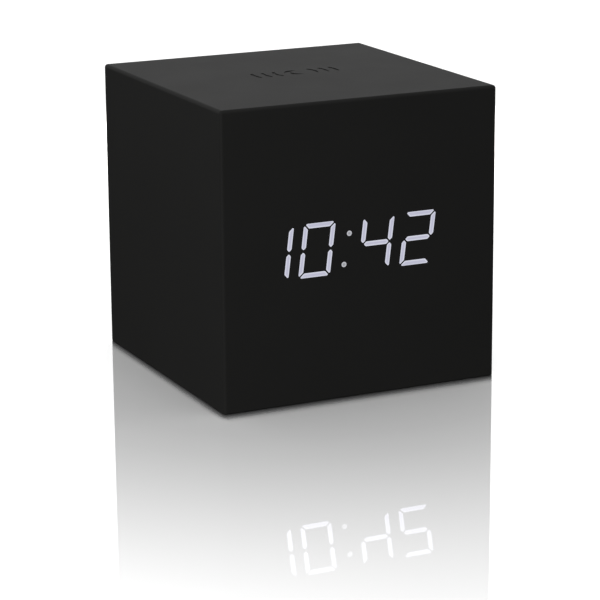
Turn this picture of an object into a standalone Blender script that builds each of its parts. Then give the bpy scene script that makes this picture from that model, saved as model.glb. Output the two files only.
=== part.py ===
# A cube alarm clock: a five-sided moulded case, a back cover with the battery bay moulded in,
# a segment display behind the closed front wall, and the boards, keys, switches and cells inside.
# Metres, +Z up. The cube stands on z = 0, centred on x and y, and its front faces -Y.
import math

import bmesh
import bpy
from mathutils import Matrix, Vector

# Fits and facets
seat_gap = 0.0003
running_gap = 0.0003
overrun = 0.0010
sink = 0.0005
weld_distance = 0.0000001
edge_steps = 3
corner_steps = 3
round_steps = 18
small_round_steps = 12
smooth_angle = math.radians(35)

# Case
case_side = 0.0780
case_wall = 0.0024
case_edge_radius = 0.0011
case_inner_radius = 0.0010
window_wall = 0.0010
pillar_radius = 0.0026
pillar_inset = 0.0056
pillar_web = 0.0012

# Back cover
cover_thickness = 0.0024
cover_recess = 0.0005
cover_lip = 0.0012
cover_corner_radius = 0.0010
counterbore_depth = 0.0015

# Lit figures, measured on the front face
figure_height = 0.01424
figure_width = 0.00905
stroke_width = 0.00142
stroke_wall = 0.00040
corner_chamfer_share = 0.35
figure_slant = math.radians(7.2)
hour_pitch = 0.0117
colon_pitch = 0.0169
minute_pitch = 0.0121
colon_offset = -0.0043
colon_upper_rise = 0.0033
colon_lower_drop = 0.0047
colon_dot_radius = 0.00074
display_rise = 0.0011

# Display module
film_thickness = 0.0003
reflector_depth = 0.0068
reflector_margin = 0.0030
reflector_corner_radius = 0.0006
lamp_length = 0.0016
lamp_width = 0.0008
lamp_height = 0.0006
lamp_room = 0.00035
board_thickness = 0.0016
board_corner_radius = 0.0008
display_flange = 0.0054
display_board_margin = 0.0020
display_post_radius = 0.0022

# Screws
cover_screw = {"head_radius": 0.00225, "head_height": 0.0011, "shank_radius": 0.0011, "length": 0.0090}
board_screw = {"head_radius": 0.0018, "head_height": 0.0011, "shank_radius": 0.0009, "length": 0.0050}
head_crown_share = 0.45
head_flat_share = 0.62
tip_share = 0.45
recess_length_share = 0.62
recess_width_share = 0.17
recess_depth_share = 0.55

# Cells and the battery bay
cell_radius = 0.00525
cell_length = 0.0445
cell_nub_radius = 0.0019
cell_nub_height = 0.0010
cell_shoulder = 0.0004
cell_count = 3
cell_spacing = 0.0005
bay_room = 0.0006
bay_wall = 0.0024
bay_floor = 0.0020
bay_side_room = 0.0003
ridge_share = 0.52
contact_thickness = 0.0004
contact_reach = 0.0042
contact_corner_radius = 0.0008
tab_width = 0.0030
tab_proud = 0.0022
spring_length = 0.0040
spring_wire_radius = 0.00025
spring_wide_radius = 0.0034
spring_narrow_radius = 0.0021
spring_turns = 3.25
spring_turn_points = 8

# Battery door
door_thickness = 0.0020
door_rebate = 0.0014
door_corner_radius = 0.0010
door_rib_height = 0.0022
door_rib_width = 0.0012
door_rib_offset = 0.0130
tongue_width = 0.0060
tongue_offset = 0.0150
tongue_reach = 0.0022
tongue_thickness = 0.0014
tongue_root = 0.0020
latch_shelf = 0.0044
latch_rim = 0.0012
latch_web = 0.0008
latch_width = 0.0080
latch_leaf = 0.0009
latch_opening = 0.0007
latch_depth = 0.0046
latch_hook = 0.0006
finger_notch_half_width = 0.0055
finger_notch_height = 0.0018
finger_notch_depth = 0.0012
groove_length = 0.0100
groove_width = 0.0008
groove_depth = 0.0005
groove_pitch = 0.0018
groove_count = 3

# Setting keys and their switches
key_names = ("down", "set", "up")
key_pitch = 0.0092
key_shift = -0.0010
key_radius = 0.0032
key_proud = 0.0004
key_dome = 0.00025
key_edge = 0.0003
key_flange_radius = 0.0038
key_flange_thickness = 0.0008
key_guide_wall = 0.0007
key_guide_height = 0.0016
key_travel = 0.0006
plunger_radius = 0.0017
plunger_proud = 0.0012
plunger_engaged = 0.0012
switch_side = 0.0060
switch_height = 0.0035
switch_corner_radius = 0.0007
switch_leg_width = 0.0007
switch_leg_reach = 0.0008
switch_leg_offset = 0.0022

# Control board and what stands on it
control_pillar_room = 0.0011
control_bay_room = 0.0010
control_top_room = 0.0026
control_post_radius = 0.0021
control_post_inset = 0.0028
control_pin_radius = 0.0010
socket_room = 0.0018
socket_width = 0.0090
socket_height = 0.0032
socket_skin = 0.0003
socket_depth = 0.0060
socket_setback = 0.0002
socket_floor = 0.0010
socket_tongue_width = 0.0064
socket_tongue_thickness = 0.0007
socket_tongue_setback = 0.0008
plug_recess_margin = 0.0012
plug_recess_depth = 0.0006
buzzer_room = 0.0006
buzzer_radius = 0.0060
buzzer_height = 0.0054
buzzer_edge = 0.0005
buzzer_port_radius = 0.0010
buzzer_port_depth = 0.0015
grille_hole_radius = 0.0007
grille_ring_radius = 0.0024
grille_ring_holes = 6
microphone_shift = 0.0140
microphone_rise = 0.0068
microphone_radius = 0.0030
microphone_height = 0.0027
microphone_edge = 0.0002
microphone_port_radius = 0.0008
microphone_port_depth = 0.0006
chip_length = 0.0126
chip_width = 0.0075
chip_height = 0.0023
chip_lead_count = 6
chip_lead_pitch = 0.0019
chip_lead_width = 0.0005
chip_lead_thickness = 0.0003
chip_lead_reach = 0.0014
capacitor_shift = -0.0165
capacitor_drop = 0.0050
capacitor_radius = 0.00315
capacitor_height = 0.0070
capacitor_groove = 0.0003
crystal_shift = 0.0125
crystal_drop = 0.0065
crystal_radius = 0.0015
crystal_length = 0.0080
crystal_rim = 0.0003
regulator_shift = -0.0185
regulator_rise = 0.0055
regulator_width = 0.0065
regulator_height = 0.0035
regulator_depth = 0.0016
regulator_tab_width = 0.0030
regulator_leg_width = 0.0007
regulator_leg_pitch = 0.0023
regulator_leg_reach = 0.0015
regulator_leg_thickness = 0.0004
connector_width = 0.0124
connector_height = 0.0044
connector_depth = 0.0046
connector_skin = 0.0008
connector_mouth_depth = 0.0024
ribbon_width = 0.0100
ribbon_thickness = 0.0008
ribbon_sag = 0.0060
ribbon_straight = 0.0030
ribbon_steps = 24
control_connector_rise = 0.0076
display_connector_rise = 0.0080
driver_drop = 0.0030
wire_radius = 0.00055
wire_stand_off = 0.0020
wire_steps = 4
supply_wire_inset = 0.0079
supply_wire_drop = 0.0085

# Touch plate under the engraved sign
sign_shift = 0.0012
sign_depth = 0.0025
touch_plate_length = 0.0260
touch_plate_width = 0.0120
touch_plate_thickness = 0.0005
touch_plate_corner = 0.0015
stake_offset = 0.0105
stake_radius = 0.0010
stake_head_radius = 0.0018
stake_head_height = 0.0007
touch_wire_shift = 0.0080

# Places that follow from the sizes above
half_side = case_side / 2
case_middle = case_side / 2
front_inner = -half_side + case_wall
cavity_half = half_side - case_wall
cover_outer = half_side - cover_recess
cover_inner = cover_outer - cover_thickness
cover_half = half_side - cover_lip - seat_gap
ledge = cover_inner - seat_gap
pillar_place = half_side - pillar_inset
pillar_places = [
    (x, case_middle + z)
    for x in (-pillar_place, pillar_place)
    for z in (-pillar_place, pillar_place)
]
screw_seat = cover_outer - counterbore_depth + seat_gap

display_middle = case_middle + display_rise
figure_places = {
    "hour_tens": colon_offset - colon_pitch / 2 - hour_pitch,
    "hour_units": colon_offset - colon_pitch / 2,
    "minute_tens": colon_offset + colon_pitch / 2,
    "minute_units": colon_offset + colon_pitch / 2 + minute_pitch,
}
lean = math.tan(figure_slant) * figure_height / 2
display_left = figure_places["hour_tens"] + figure_width / 2 - stroke_width - lean
display_right = figure_places["minute_units"] + figure_width / 2 + lean
display_centre = (display_left + display_right) / 2
reflector_half_width = (display_right - display_left) / 2 + reflector_margin
reflector_half_height = figure_height / 2 + reflector_margin
film_front = -half_side + window_wall + seat_gap
reflector_front = film_front + film_thickness + seat_gap
reflector_back = reflector_front + reflector_depth
display_board_front = reflector_back + seat_gap
display_board_back = display_board_front + board_thickness
display_parts_foot = display_board_back + seat_gap
display_board_half_width = reflector_half_width + display_flange
display_board_half_height = reflector_half_height + display_board_margin
display_post_x = reflector_half_width + display_flange / 2
display_post_z = display_board_half_height - display_flange / 2
display_post_places = [
    (display_centre + x, display_middle + z)
    for x in (-display_post_x, display_post_x)
    for z in (-display_post_z, display_post_z)
]

cell_pitch = 2 * cell_radius + cell_spacing
bay_half_height = cell_count * cell_pitch / 2 + bay_side_room
bay_middle = pillar_inset + pillar_radius + bay_room + bay_wall + bay_half_height
bay_half_length = (cell_length + spring_length) / 2 + contact_thickness + 5 * seat_gap / 2
bay_bottom = bay_middle - bay_half_height
bay_top = bay_middle + bay_half_height
door_inner = cover_outer - door_thickness
door_seat = door_inner - seat_gap
tongue_outer = cover_inner - running_gap
tongue_inner = tongue_outer - tongue_thickness
cell_axis = tongue_outer - cell_spacing - running_gap - cell_radius
scallop_radius = cell_radius + seat_gap
bay_back = cell_axis - scallop_radius - bay_floor
opening_half_length = bay_half_length + door_rebate
opening_bottom = bay_bottom - door_rebate
opening_top = bay_top + latch_shelf
door_bottom = opening_bottom + seat_gap
door_top = opening_top - seat_gap
door_half_length = opening_half_length - seat_gap
cell_places = [bay_middle + (index - (cell_count - 1) / 2) * cell_pitch for index in range(cell_count)]
cell_turns = [1 if index % 2 == 0 else -1 for index in range(cell_count)]
cell_end = bay_half_length - contact_thickness - 2 * seat_gap
contact_outer = bay_half_length - seat_gap
contact_inner = contact_outer - contact_thickness
tab_x = (contact_inner + contact_outer) / 2

control_bottom = opening_top + latch_rim + control_bay_room
control_top = case_side - case_wall - control_top_room
control_half_height = (control_top - control_bottom) / 2
key_middle = (control_top + control_bottom) / 2
key_places = [key_shift + (index - (len(key_names) - 1) / 2) * key_pitch for index in range(len(key_names))]
flange_top = cover_inner - running_gap
flange_bottom = flange_top - key_flange_thickness
plunger_top = flange_bottom - seat_gap
switch_top = plunger_top - plunger_proud
control_back = switch_top - switch_height - seat_gap
control_front = control_back - board_thickness
control_parts_foot = control_front - seat_gap
guide_radius = key_flange_radius + running_gap
guide_outer_radius = guide_radius + key_guide_wall
buzzer_shift = key_places[0] - guide_outer_radius - buzzer_room - buzzer_radius
socket_shift = key_places[-1] + guide_outer_radius + socket_room + plug_recess_margin + socket_width / 2
control_half_width = pillar_place - pillar_radius - control_pillar_room
control_post_places = [
    (x, key_middle + z)
    for x in (-control_half_width + control_post_inset, control_half_width - control_post_inset)
    for z in (-control_half_height + control_post_inset, control_half_height - control_post_inset)
]
pinned_posts = [control_post_places[0], control_post_places[3]]
screwed_posts = [control_post_places[1], control_post_places[2]]
touch_plate_top = case_side - case_wall - seat_gap
touch_plate_bottom = touch_plate_top - touch_plate_thickness


def point_at(across, up, along, axis):
    """The point of an outline (across, up) at a height along the axis it is extruded or turned on."""
    if axis == "X":
        return Vector((along, across, up))
    if axis == "Y":
        return Vector((across, along, up))
    return Vector((across, up, along))


def new_piece(name, bm):
    bmesh.ops.recalc_face_normals(bm, faces=bm.faces)
    mesh = bpy.data.meshes.new(name)
    bm.to_mesh(mesh)
    bm.free()
    piece = bpy.data.objects.new(name, mesh)
    bpy.context.scene.collection.objects.link(piece)
    return piece


def rectangle(centre_across, centre_up, half_across, half_up, radius=0, steps=corner_steps):
    """A rectangle's outline, with its corners as arcs where a radius is given."""
    if not radius:
        return [
            (centre_across - half_across, centre_up - half_up),
            (centre_across + half_across, centre_up - half_up),
            (centre_across + half_across, centre_up + half_up),
            (centre_across - half_across, centre_up + half_up),
        ]
    outline = []
    for quarter, (side, rise) in enumerate(((1, 1), (-1, 1), (-1, -1), (1, -1))):
        for step in range(steps + 1):
            angle = (quarter + step / steps) * math.pi / 2
            outline.append((
                centre_across + side * (half_across - radius) + radius * math.cos(angle),
                centre_up + rise * (half_up - radius) + radius * math.sin(angle),
            ))
    return outline


def circle(centre_across, centre_up, radius, steps=round_steps):
    turns = [2 * math.pi * step / steps for step in range(steps)]
    return [(centre_across + radius * math.cos(turn), centre_up + radius * math.sin(turn)) for turn in turns]


def stadium(centre_across, centre_up, half_across, half_up, steps=corner_steps):
    """A slot's outline with round ends."""
    outline = []
    for side, first in ((1, -math.pi / 2), (-1, math.pi / 2)):
        for step in range(2 * steps + 1):
            angle = first + math.pi * step / (2 * steps)
            outline.append((
                centre_across + side * (half_across - half_up) + half_up * math.cos(angle),
                centre_up + half_up * math.sin(angle),
            ))
    return outline


def prism(name, outlines, start, end, axis="Y"):
    """One object holding each outline extruded from start to end along the axis."""
    bm = bmesh.new()
    for outline in outlines:
        face = bm.faces.new([bm.verts.new(point_at(across, up, start, axis)) for across, up in outline])
        made = bmesh.ops.extrude_face_region(bm, geom=[face])
        moved = [item for item in made["geom"] if isinstance(item, bmesh.types.BMVert)]
        bmesh.ops.translate(bm, vec=point_at(0, 0, end - start, axis), verts=moved)
    return new_piece(name, bm)


def funnels(name, pairs, start, end):
    """One object holding a loft along y from each pair's first outline to its second."""
    bm = bmesh.new()
    for first, second in pairs:
        low = [bm.verts.new(point_at(across, up, start, "Y")) for across, up in first]
        high = [bm.verts.new(point_at(across, up, end, "Y")) for across, up in second]
        rims = []
        for ring in (low, high):
            bm.faces.new(ring)
            rims += [bm.edges.get((ring[i - 1], ring[i])) for i in range(len(ring))]
        bmesh.ops.bridge_loops(bm, edges=rims)
    bmesh.ops.triangulate(bm, faces=bm.faces)
    return new_piece(name, bm)


def turned(name, profile, centre, axis="Y", steps=round_steps):
    """A profile of (radius, height) points, turned about the axis through centre, its object's origin."""
    bm = bmesh.new()
    verts = [bm.verts.new(point_at(radius, 0, height, axis)) for radius, height in profile]
    edges = [bm.edges.new(pair) for pair in zip(verts, verts[1:])]
    bmesh.ops.spin(
        bm, geom=verts + edges, cent=(0, 0, 0), axis=point_at(0, 0, 1, axis),
        angle=2 * math.pi, steps=steps, use_merge=True,
    )
    bmesh.ops.remove_doubles(bm, verts=bm.verts, dist=weld_distance)
    piece = new_piece(name, bm)
    piece.location = centre
    piece.data.shade_smooth()
    piece.data.set_sharp_from_angle(angle=smooth_angle)
    return piece


def rounded_block(name, half, middle, radius):
    """A cube of the given half side, standing about middle, with every edge rounded."""
    bm = bmesh.new()
    bmesh.ops.create_cube(bm, size=2 * half)
    bmesh.ops.translate(bm, vec=(0, 0, middle), verts=bm.verts)
    bmesh.ops.bevel(bm, geom=bm.edges, offset=radius, segments=edge_steps, profile=0.5, affect="EDGES")
    return new_piece(name, bm)


def smooth_route(points, steps):
    """Points along one smooth curve that passes through the given ones."""
    ends = [points[0] * 2 - points[1]] + points + [points[-1] * 2 - points[-2]]
    route = []
    for before, here, there, after in zip(ends, ends[1:], ends[2:], ends[3:]):
        for step in range(steps):
            t = step / steps
            route.append((
                2 * here + (there - before) * t
                + (2 * before - 5 * here + 4 * there - after) * t ** 2
                + (3 * here - before - 3 * there + after) * t ** 3
            ) / 2)
    return route + [points[-1]]


def tube(name, points, radius, resolution):
    curve = bpy.data.curves.new(name, "CURVE")
    curve.dimensions = "3D"
    curve.bevel_depth = radius
    curve.bevel_resolution = resolution
    curve.use_fill_caps = True
    spline = curve.splines.new("POLY")
    spline.points.add(len(points) - 1)
    for place, point in zip(spline.points, points):
        place.co = (*point, 1)
    piece = bpy.data.objects.new(name, curve)
    bpy.context.scene.collection.objects.link(piece)
    return piece


def combine(piece, helpers, operation):
    for helper in helpers:
        modifier = piece.modifiers.new(helper.name, "BOOLEAN")
        modifier.operation = operation
        modifier.solver = "EXACT"
        modifier.object = helper
        helper.hide_render = True
        helper.display_type = "WIRE"


def carve(piece, *cutters):
    combine(piece, cutters, "DIFFERENCE")


def join(piece, *shapes):
    combine(piece, shapes, "UNION")


def give_finish(piece, colour, roughness, metallic=0.0):
    material = bpy.data.materials.new(piece.name)
    material.use_nodes = True
    shader = material.node_tree.nodes["Principled BSDF"]
    shader.inputs["Base Color"].default_value = (*colour, 1)
    shader.inputs["Roughness"].default_value = roughness
    shader.inputs["Metallic"].default_value = metallic
    material.diffuse_color = (*colour, 1)
    piece.data.materials.append(material)


# Finishes, as colour, roughness and metallic value
rubber_black = ((0.012, 0.012, 0.012), 0.62)
moulded_black = ((0.016, 0.016, 0.017), 0.50)
light_box_white = ((0.80, 0.80, 0.78), 0.45)
film_white = ((0.72, 0.73, 0.76), 0.35)
board_green = ((0.02, 0.13, 0.06), 0.40)
package_black = ((0.02, 0.02, 0.022), 0.55)
connector_cream = ((0.76, 0.73, 0.64), 0.45)
spring_steel = ((0.62, 0.62, 0.60), 0.28, 1.0)
screw_steel = ((0.10, 0.10, 0.11), 0.38, 1.0)
contact_nickel = ((0.66, 0.64, 0.58), 0.25, 1.0)
cell_jacket = ((0.05, 0.06, 0.08), 0.30)
red_sleeve = ((0.45, 0.02, 0.02), 0.45)
black_sleeve = ((0.02, 0.02, 0.02), 0.45)
ribbon_grey = ((0.42, 0.43, 0.45), 0.50)


def screw(name, size, across, seat, up, facing):
    """A pan-head screw whose head rests at seat and whose shank points away from facing."""
    head, shank = size["head_radius"], size["shank_radius"]
    height, length = size["head_height"], size["length"]
    profile = [
        (0, -length * facing),
        (shank * tip_share, -length * facing),
        (shank, (shank - length) * facing),
        (shank, 0),
        (head, 0),
        (head, height * head_crown_share * facing),
        (head * head_flat_share, height * facing),
        (0, height * facing),
    ]
    piece = turned(name, profile, (across, seat, up), steps=small_round_steps)
    arm, slot = head * recess_length_share, head * recess_width_share
    floor = seat + height * (1 - recess_depth_share) * facing
    top = seat + (height + overrun) * facing
    for label, half_across, half_up in (("slot", arm, slot), ("cross", slot, arm)):
        outline = rectangle(across, up, half_across, half_up)
        carve(piece, prism(name + "_" + label, [outline], min(floor, top), max(floor, top)))
    give_finish(piece, *screw_steel)


def case_shell():
    shell = rounded_block("case_shell", half_side, case_middle, case_edge_radius)
    cavity = rectangle(0, case_middle, cavity_half, cavity_half, case_inner_radius)
    mouth_half = cover_half + seat_gap
    mouth = rectangle(0, case_middle, mouth_half, mouth_half, cover_corner_radius + seat_gap)
    window = rectangle(
        display_centre, display_middle,
        reflector_half_width + seat_gap, reflector_half_height + seat_gap,
        reflector_corner_radius + seat_gap,
    )
    carve(
        shell,
        prism("case_cavity", [cavity], front_inner, half_side + overrun),
        prism("case_mouth", [mouth], ledge, half_side + overrun),
        prism("case_window", [window], -half_side + window_wall, front_inner + overrun),
    )
    root = front_inner - sink
    wall_middle = half_side - case_wall / 2
    pillars = [circle(x, z, pillar_radius) for x, z in pillar_places]
    side_webs = []
    floor_webs = []
    for x, z in pillar_places:
        side = math.copysign(wall_middle, x)
        edge = case_middle + math.copysign(wall_middle, z - case_middle)
        side_webs.append(rectangle((x + side) / 2, z, abs(side - x) / 2, pillar_web / 2))
        floor_webs.append(rectangle(x, (z + edge) / 2, pillar_web / 2, abs(edge - z) / 2))
    join(
        shell,
        prism("pillars", pillars, root, ledge),
        prism("pillar_side_webs", side_webs, root, ledge),
        prism("pillar_floor_webs", floor_webs, root, ledge),
    )
    pilot = cover_screw["shank_radius"] + seat_gap
    pilot_end = screw_seat - cover_screw["length"] - 2 * seat_gap
    pilots = [circle(x, z, pilot, small_round_steps) for x, z in pillar_places]
    carve(shell, prism("pillar_pilots", pilots, pilot_end, ledge + overrun))

    post_top = display_board_front - seat_gap
    posts = [circle(x, z, display_post_radius, small_round_steps) for x, z in display_post_places]
    join(shell, prism("display_posts", posts, root, post_top))
    pilot = board_screw["shank_radius"] + seat_gap
    pilot_end = display_board_back + seat_gap - board_screw["length"] - seat_gap
    pilots = [circle(x, z, pilot, small_round_steps) for x, z in display_post_places]
    carve(shell, prism("display_pilots", pilots, pilot_end, post_top + overrun))

    stake_start = case_side - case_wall + sink
    stake_shoulder = touch_plate_bottom - seat_gap
    stake_end = stake_shoulder - stake_head_height
    for side in (-1, 1):
        profile = [
            (0, stake_start),
            (stake_radius, stake_start),
            (stake_radius, stake_shoulder),
            (stake_head_radius, stake_shoulder),
            (stake_head_radius, stake_end + stake_head_height / 2),
            (stake_radius, stake_end),
            (0, stake_end),
        ]
        place = (sign_shift + side * stake_offset, sign_depth, 0)
        name = "left_stake" if side < 0 else "right_stake"
        join(shell, turned(name, profile, place, "Z", small_round_steps))
    give_finish(shell, *rubber_black)


def stroke_outlines(names, centre, wall):
    """The slanted outlines of a figure's strokes, with mitred corners and pointed middle ends."""
    half_width, half_height = figure_width / 2, figure_height / 2
    stroke, clip = stroke_width, stroke_width * corner_chamfer_share
    ease = wall / math.sqrt(2)
    level = [
        (half_width - clip, half_height),
        (half_width - (clip + ease) / 2, half_height - (clip - ease) / 2),
        (half_width - stroke - ease, half_height - stroke),
    ]
    upright = [
        (half_width, half_height - clip),
        (half_width - (clip - ease) / 2, half_height - (clip + ease) / 2),
        (half_width - stroke, half_height - stroke - ease),
        (half_width - stroke, ease + stroke / 2),
        (half_width - stroke / 2, ease),
        (half_width, ease + stroke / 2),
    ]
    middle = [
        (half_width - stroke - ease, stroke / 2),
        (half_width - stroke / 2 - ease, 0),
        (half_width - stroke - ease, -stroke / 2),
    ]
    shapes = {
        "top": level + [(-x, z) for x, z in reversed(level)],
        "middle": middle + [(-x, -z) for x, z in middle],
        "upper_right": upright,
        "upper_left": [(-x, z) for x, z in reversed(upright)],
        "lower_right": [(x, -z) for x, z in reversed(upright)],
        "lower_left": [(-x, -z) for x, z in upright],
    }
    shapes["bottom"] = [(x, -z) for x, z in reversed(shapes["top"])]
    tilt = math.tan(figure_slant)
    return {
        name: [(centre + x + z * tilt, display_middle + z) for x, z in shapes[name]] for name in names
    }


def display_strokes(wall):
    """Every stroke and dot that the display can light, by name."""
    every = ("top", "upper_left", "upper_right", "middle", "lower_left", "lower_right", "bottom")
    found = {}
    for figure, centre in figure_places.items():
        names = every if figure != "hour_tens" else ("upper_right", "lower_right")
        for name, outline in stroke_outlines(names, centre, wall).items():
            found[figure + "_" + name] = outline
    tilt = math.tan(figure_slant)
    for name, rise in (("upper_dot", colon_upper_rise), ("lower_dot", -colon_lower_drop)):
        across, up = colon_offset + rise * tilt, display_middle + rise
        found[name] = circle(across, up, colon_dot_radius, small_round_steps)
    return found


def middle_of(outline):
    across = [point[0] for point in outline]
    up = [point[1] for point in outline]
    return (min(across) + max(across)) / 2, (min(up) + max(up)) / 2


def lamp_halves(name):
    """The half sizes of a stroke's lamp, lying along its stroke."""
    if name.endswith(("left", "right")):
        return lamp_width / 2, lamp_length / 2
    if name.endswith("dot"):
        return lamp_width / 2, lamp_width / 2
    return lamp_length / 2, lamp_width / 2


def lamp_opening(name, stroke):
    """A funnel's narrow end round the lamp, with one point for each point of its stroke."""
    centre_across, centre_up = middle_of(stroke)
    half_across, half_up = (half + lamp_room for half in lamp_halves(name))
    if name.endswith("dot"):
        return circle(centre_across, centre_up, math.hypot(half_across, half_up), small_round_steps)
    level = half_across > half_up
    opening = []
    for index, (across, up) in enumerate(stroke):
        at_tip = index in (1, 4)
        side = 0 if at_tip and not level else math.copysign(1, across - centre_across)
        rise = 0 if at_tip and level else math.copysign(1, up - centre_up)
        opening.append((centre_across + side * half_across, centre_up + rise * half_up))
    return opening


def run_on(first, second, share):
    """The outline that a loft from first to second reaches when it runs on past second by a share."""
    return [
        (x + (x - x_before) * share, z + (z - z_before) * share)
        for (x_before, z_before), (x, z) in zip(first, second)
    ]


def display_reflector():
    """The light box: each stroke is a funnel that opens from its lamp to the stroke's own outline."""
    outline = rectangle(
        display_centre, display_middle, reflector_half_width, reflector_half_height, reflector_corner_radius
    )
    box = prism("display_reflector", [outline], reflector_front, reflector_back)
    pairs = []
    deepening = overrun / reflector_depth
    for name, stroke in display_strokes(stroke_wall).items():
        opening = lamp_opening(name, stroke)
        pairs.append((run_on(opening, stroke, deepening), run_on(stroke, opening, deepening)))
    carve(box, funnels("stroke_funnels", pairs, reflector_front - overrun, reflector_back + overrun))
    give_finish(box, *light_box_white)


def display_film():
    outline = rectangle(
        display_centre, display_middle, reflector_half_width, reflector_half_height, reflector_corner_radius
    )
    film = prism("display_film", [outline], film_front, film_front + film_thickness)
    give_finish(film, *film_white)


def display_board():
    outline = rectangle(
        display_centre, display_middle,
        display_board_half_width, display_board_half_height, board_corner_radius,
    )
    board = prism("display_board", [outline], display_board_front, display_board_back)
    hole = board_screw["shank_radius"] + seat_gap
    holes = [circle(x, z, hole, small_round_steps) for x, z in display_post_places]
    lamps = []
    for name, stroke in display_strokes(stroke_wall).items():
        lamps.append(rectangle(*middle_of(stroke), *lamp_halves(name)))
    front, back = display_board_front, display_board_back
    join(board, prism("lamps", lamps, front - lamp_height, front + sink))
    carve(board, prism("display_board_holes", holes, front - overrun, back + overrun))
    give_finish(board, *board_green)
    for number, (x, z) in enumerate(display_post_places, 1):
        screw(f"display_screw_{number}", board_screw, x, display_board_back + seat_gap, z, 1)


def chip(name, across, foot, up, facing):
    """A flat package with a row of gull-wing leads along its upper and lower sides."""
    low, high = sorted((foot, foot + chip_height * facing))
    body = prism(name, [rectangle(across, up, chip_length / 2, chip_width / 2)], low, high)
    shoulder = foot + chip_height / 2 * facing
    thick = chip_lead_thickness * facing
    first = across - (chip_lead_count - 1) / 2 * chip_lead_pitch
    for side in (-1, 1):
        edge = up + side * chip_width / 2
        knee = edge + side * (chip_lead_reach / 2 - chip_lead_thickness)
        bend = edge + side * chip_lead_reach / 2
        toe = edge + side * chip_lead_reach
        profile = [
            (shoulder, edge - side * sink),
            (shoulder, knee),
            (foot, knee),
            (foot, toe),
            (foot + thick, toe),
            (foot + thick, bend),
            (shoulder + thick, bend),
            (shoulder + thick, edge - side * sink),
        ]
        for lead in range(chip_lead_count):
            start = first + lead * chip_lead_pitch - chip_lead_width / 2
            row = f"{name}_lead_{lead}_{'upper' if side > 0 else 'lower'}"
            join(body, prism(row, [profile], start, start + chip_lead_width, "X"))
    give_finish(body, *package_black)


def connector(name, across, foot, up, facing):
    """A ribbon socket: a block with an open mouth on its far side."""
    low, high = sorted((foot, foot + connector_depth * facing))
    body = prism(name, [rectangle(across, up, connector_width / 2, connector_height / 2)], low, high)
    mouth = rectangle(across, up, connector_width / 2 - connector_skin, connector_height / 2 - connector_skin)
    floor = foot + (connector_depth - connector_mouth_depth) * facing
    rim = foot + (connector_depth + overrun) * facing
    carve(body, prism(name + "_mouth", [mouth], min(floor, rim), max(floor, rim)))
    give_finish(body, *connector_cream)


def ribbon_cable():
    """A flat cable from the floor of one socket's mouth to the other's, with slack between them."""
    inset = connector_depth - connector_mouth_depth + seat_gap
    start = display_parts_foot + inset
    end = control_parts_foot - inset
    low = display_middle + display_connector_rise
    high = key_middle + control_connector_rise
    leave = start + connector_mouth_depth + ribbon_straight
    arrive = end - connector_mouth_depth - ribbon_straight
    quarter = (arrive - leave) / 4
    rise = (high - low) / 4
    route = [
        Vector((start, low)),
        Vector((leave, low)),
        Vector((leave + quarter, low + rise - ribbon_sag)),
        Vector(((leave + arrive) / 2, (low + high) / 2)),
        Vector((arrive - quarter, high - rise + ribbon_sag / 2)),
        Vector((arrive, high)),
        Vector((end, high)),
    ]
    points = smooth_route(route, ribbon_steps // (len(route) - 1))
    upper, lower = [], []
    for index, point in enumerate(points):
        before = points[max(index - 1, 0)]
        after = points[min(index + 1, len(points) - 1)]
        along = (after - before).normalized()
        side = Vector((-along.y, along.x)) * ribbon_thickness / 2
        upper.append(tuple(point + side))
        lower.append(tuple(point - side))
    outline = lower + upper[::-1]
    ribbon = prism("ribbon_cable", [outline], -ribbon_width / 2, ribbon_width / 2, "X")
    give_finish(ribbon, *ribbon_grey)


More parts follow.
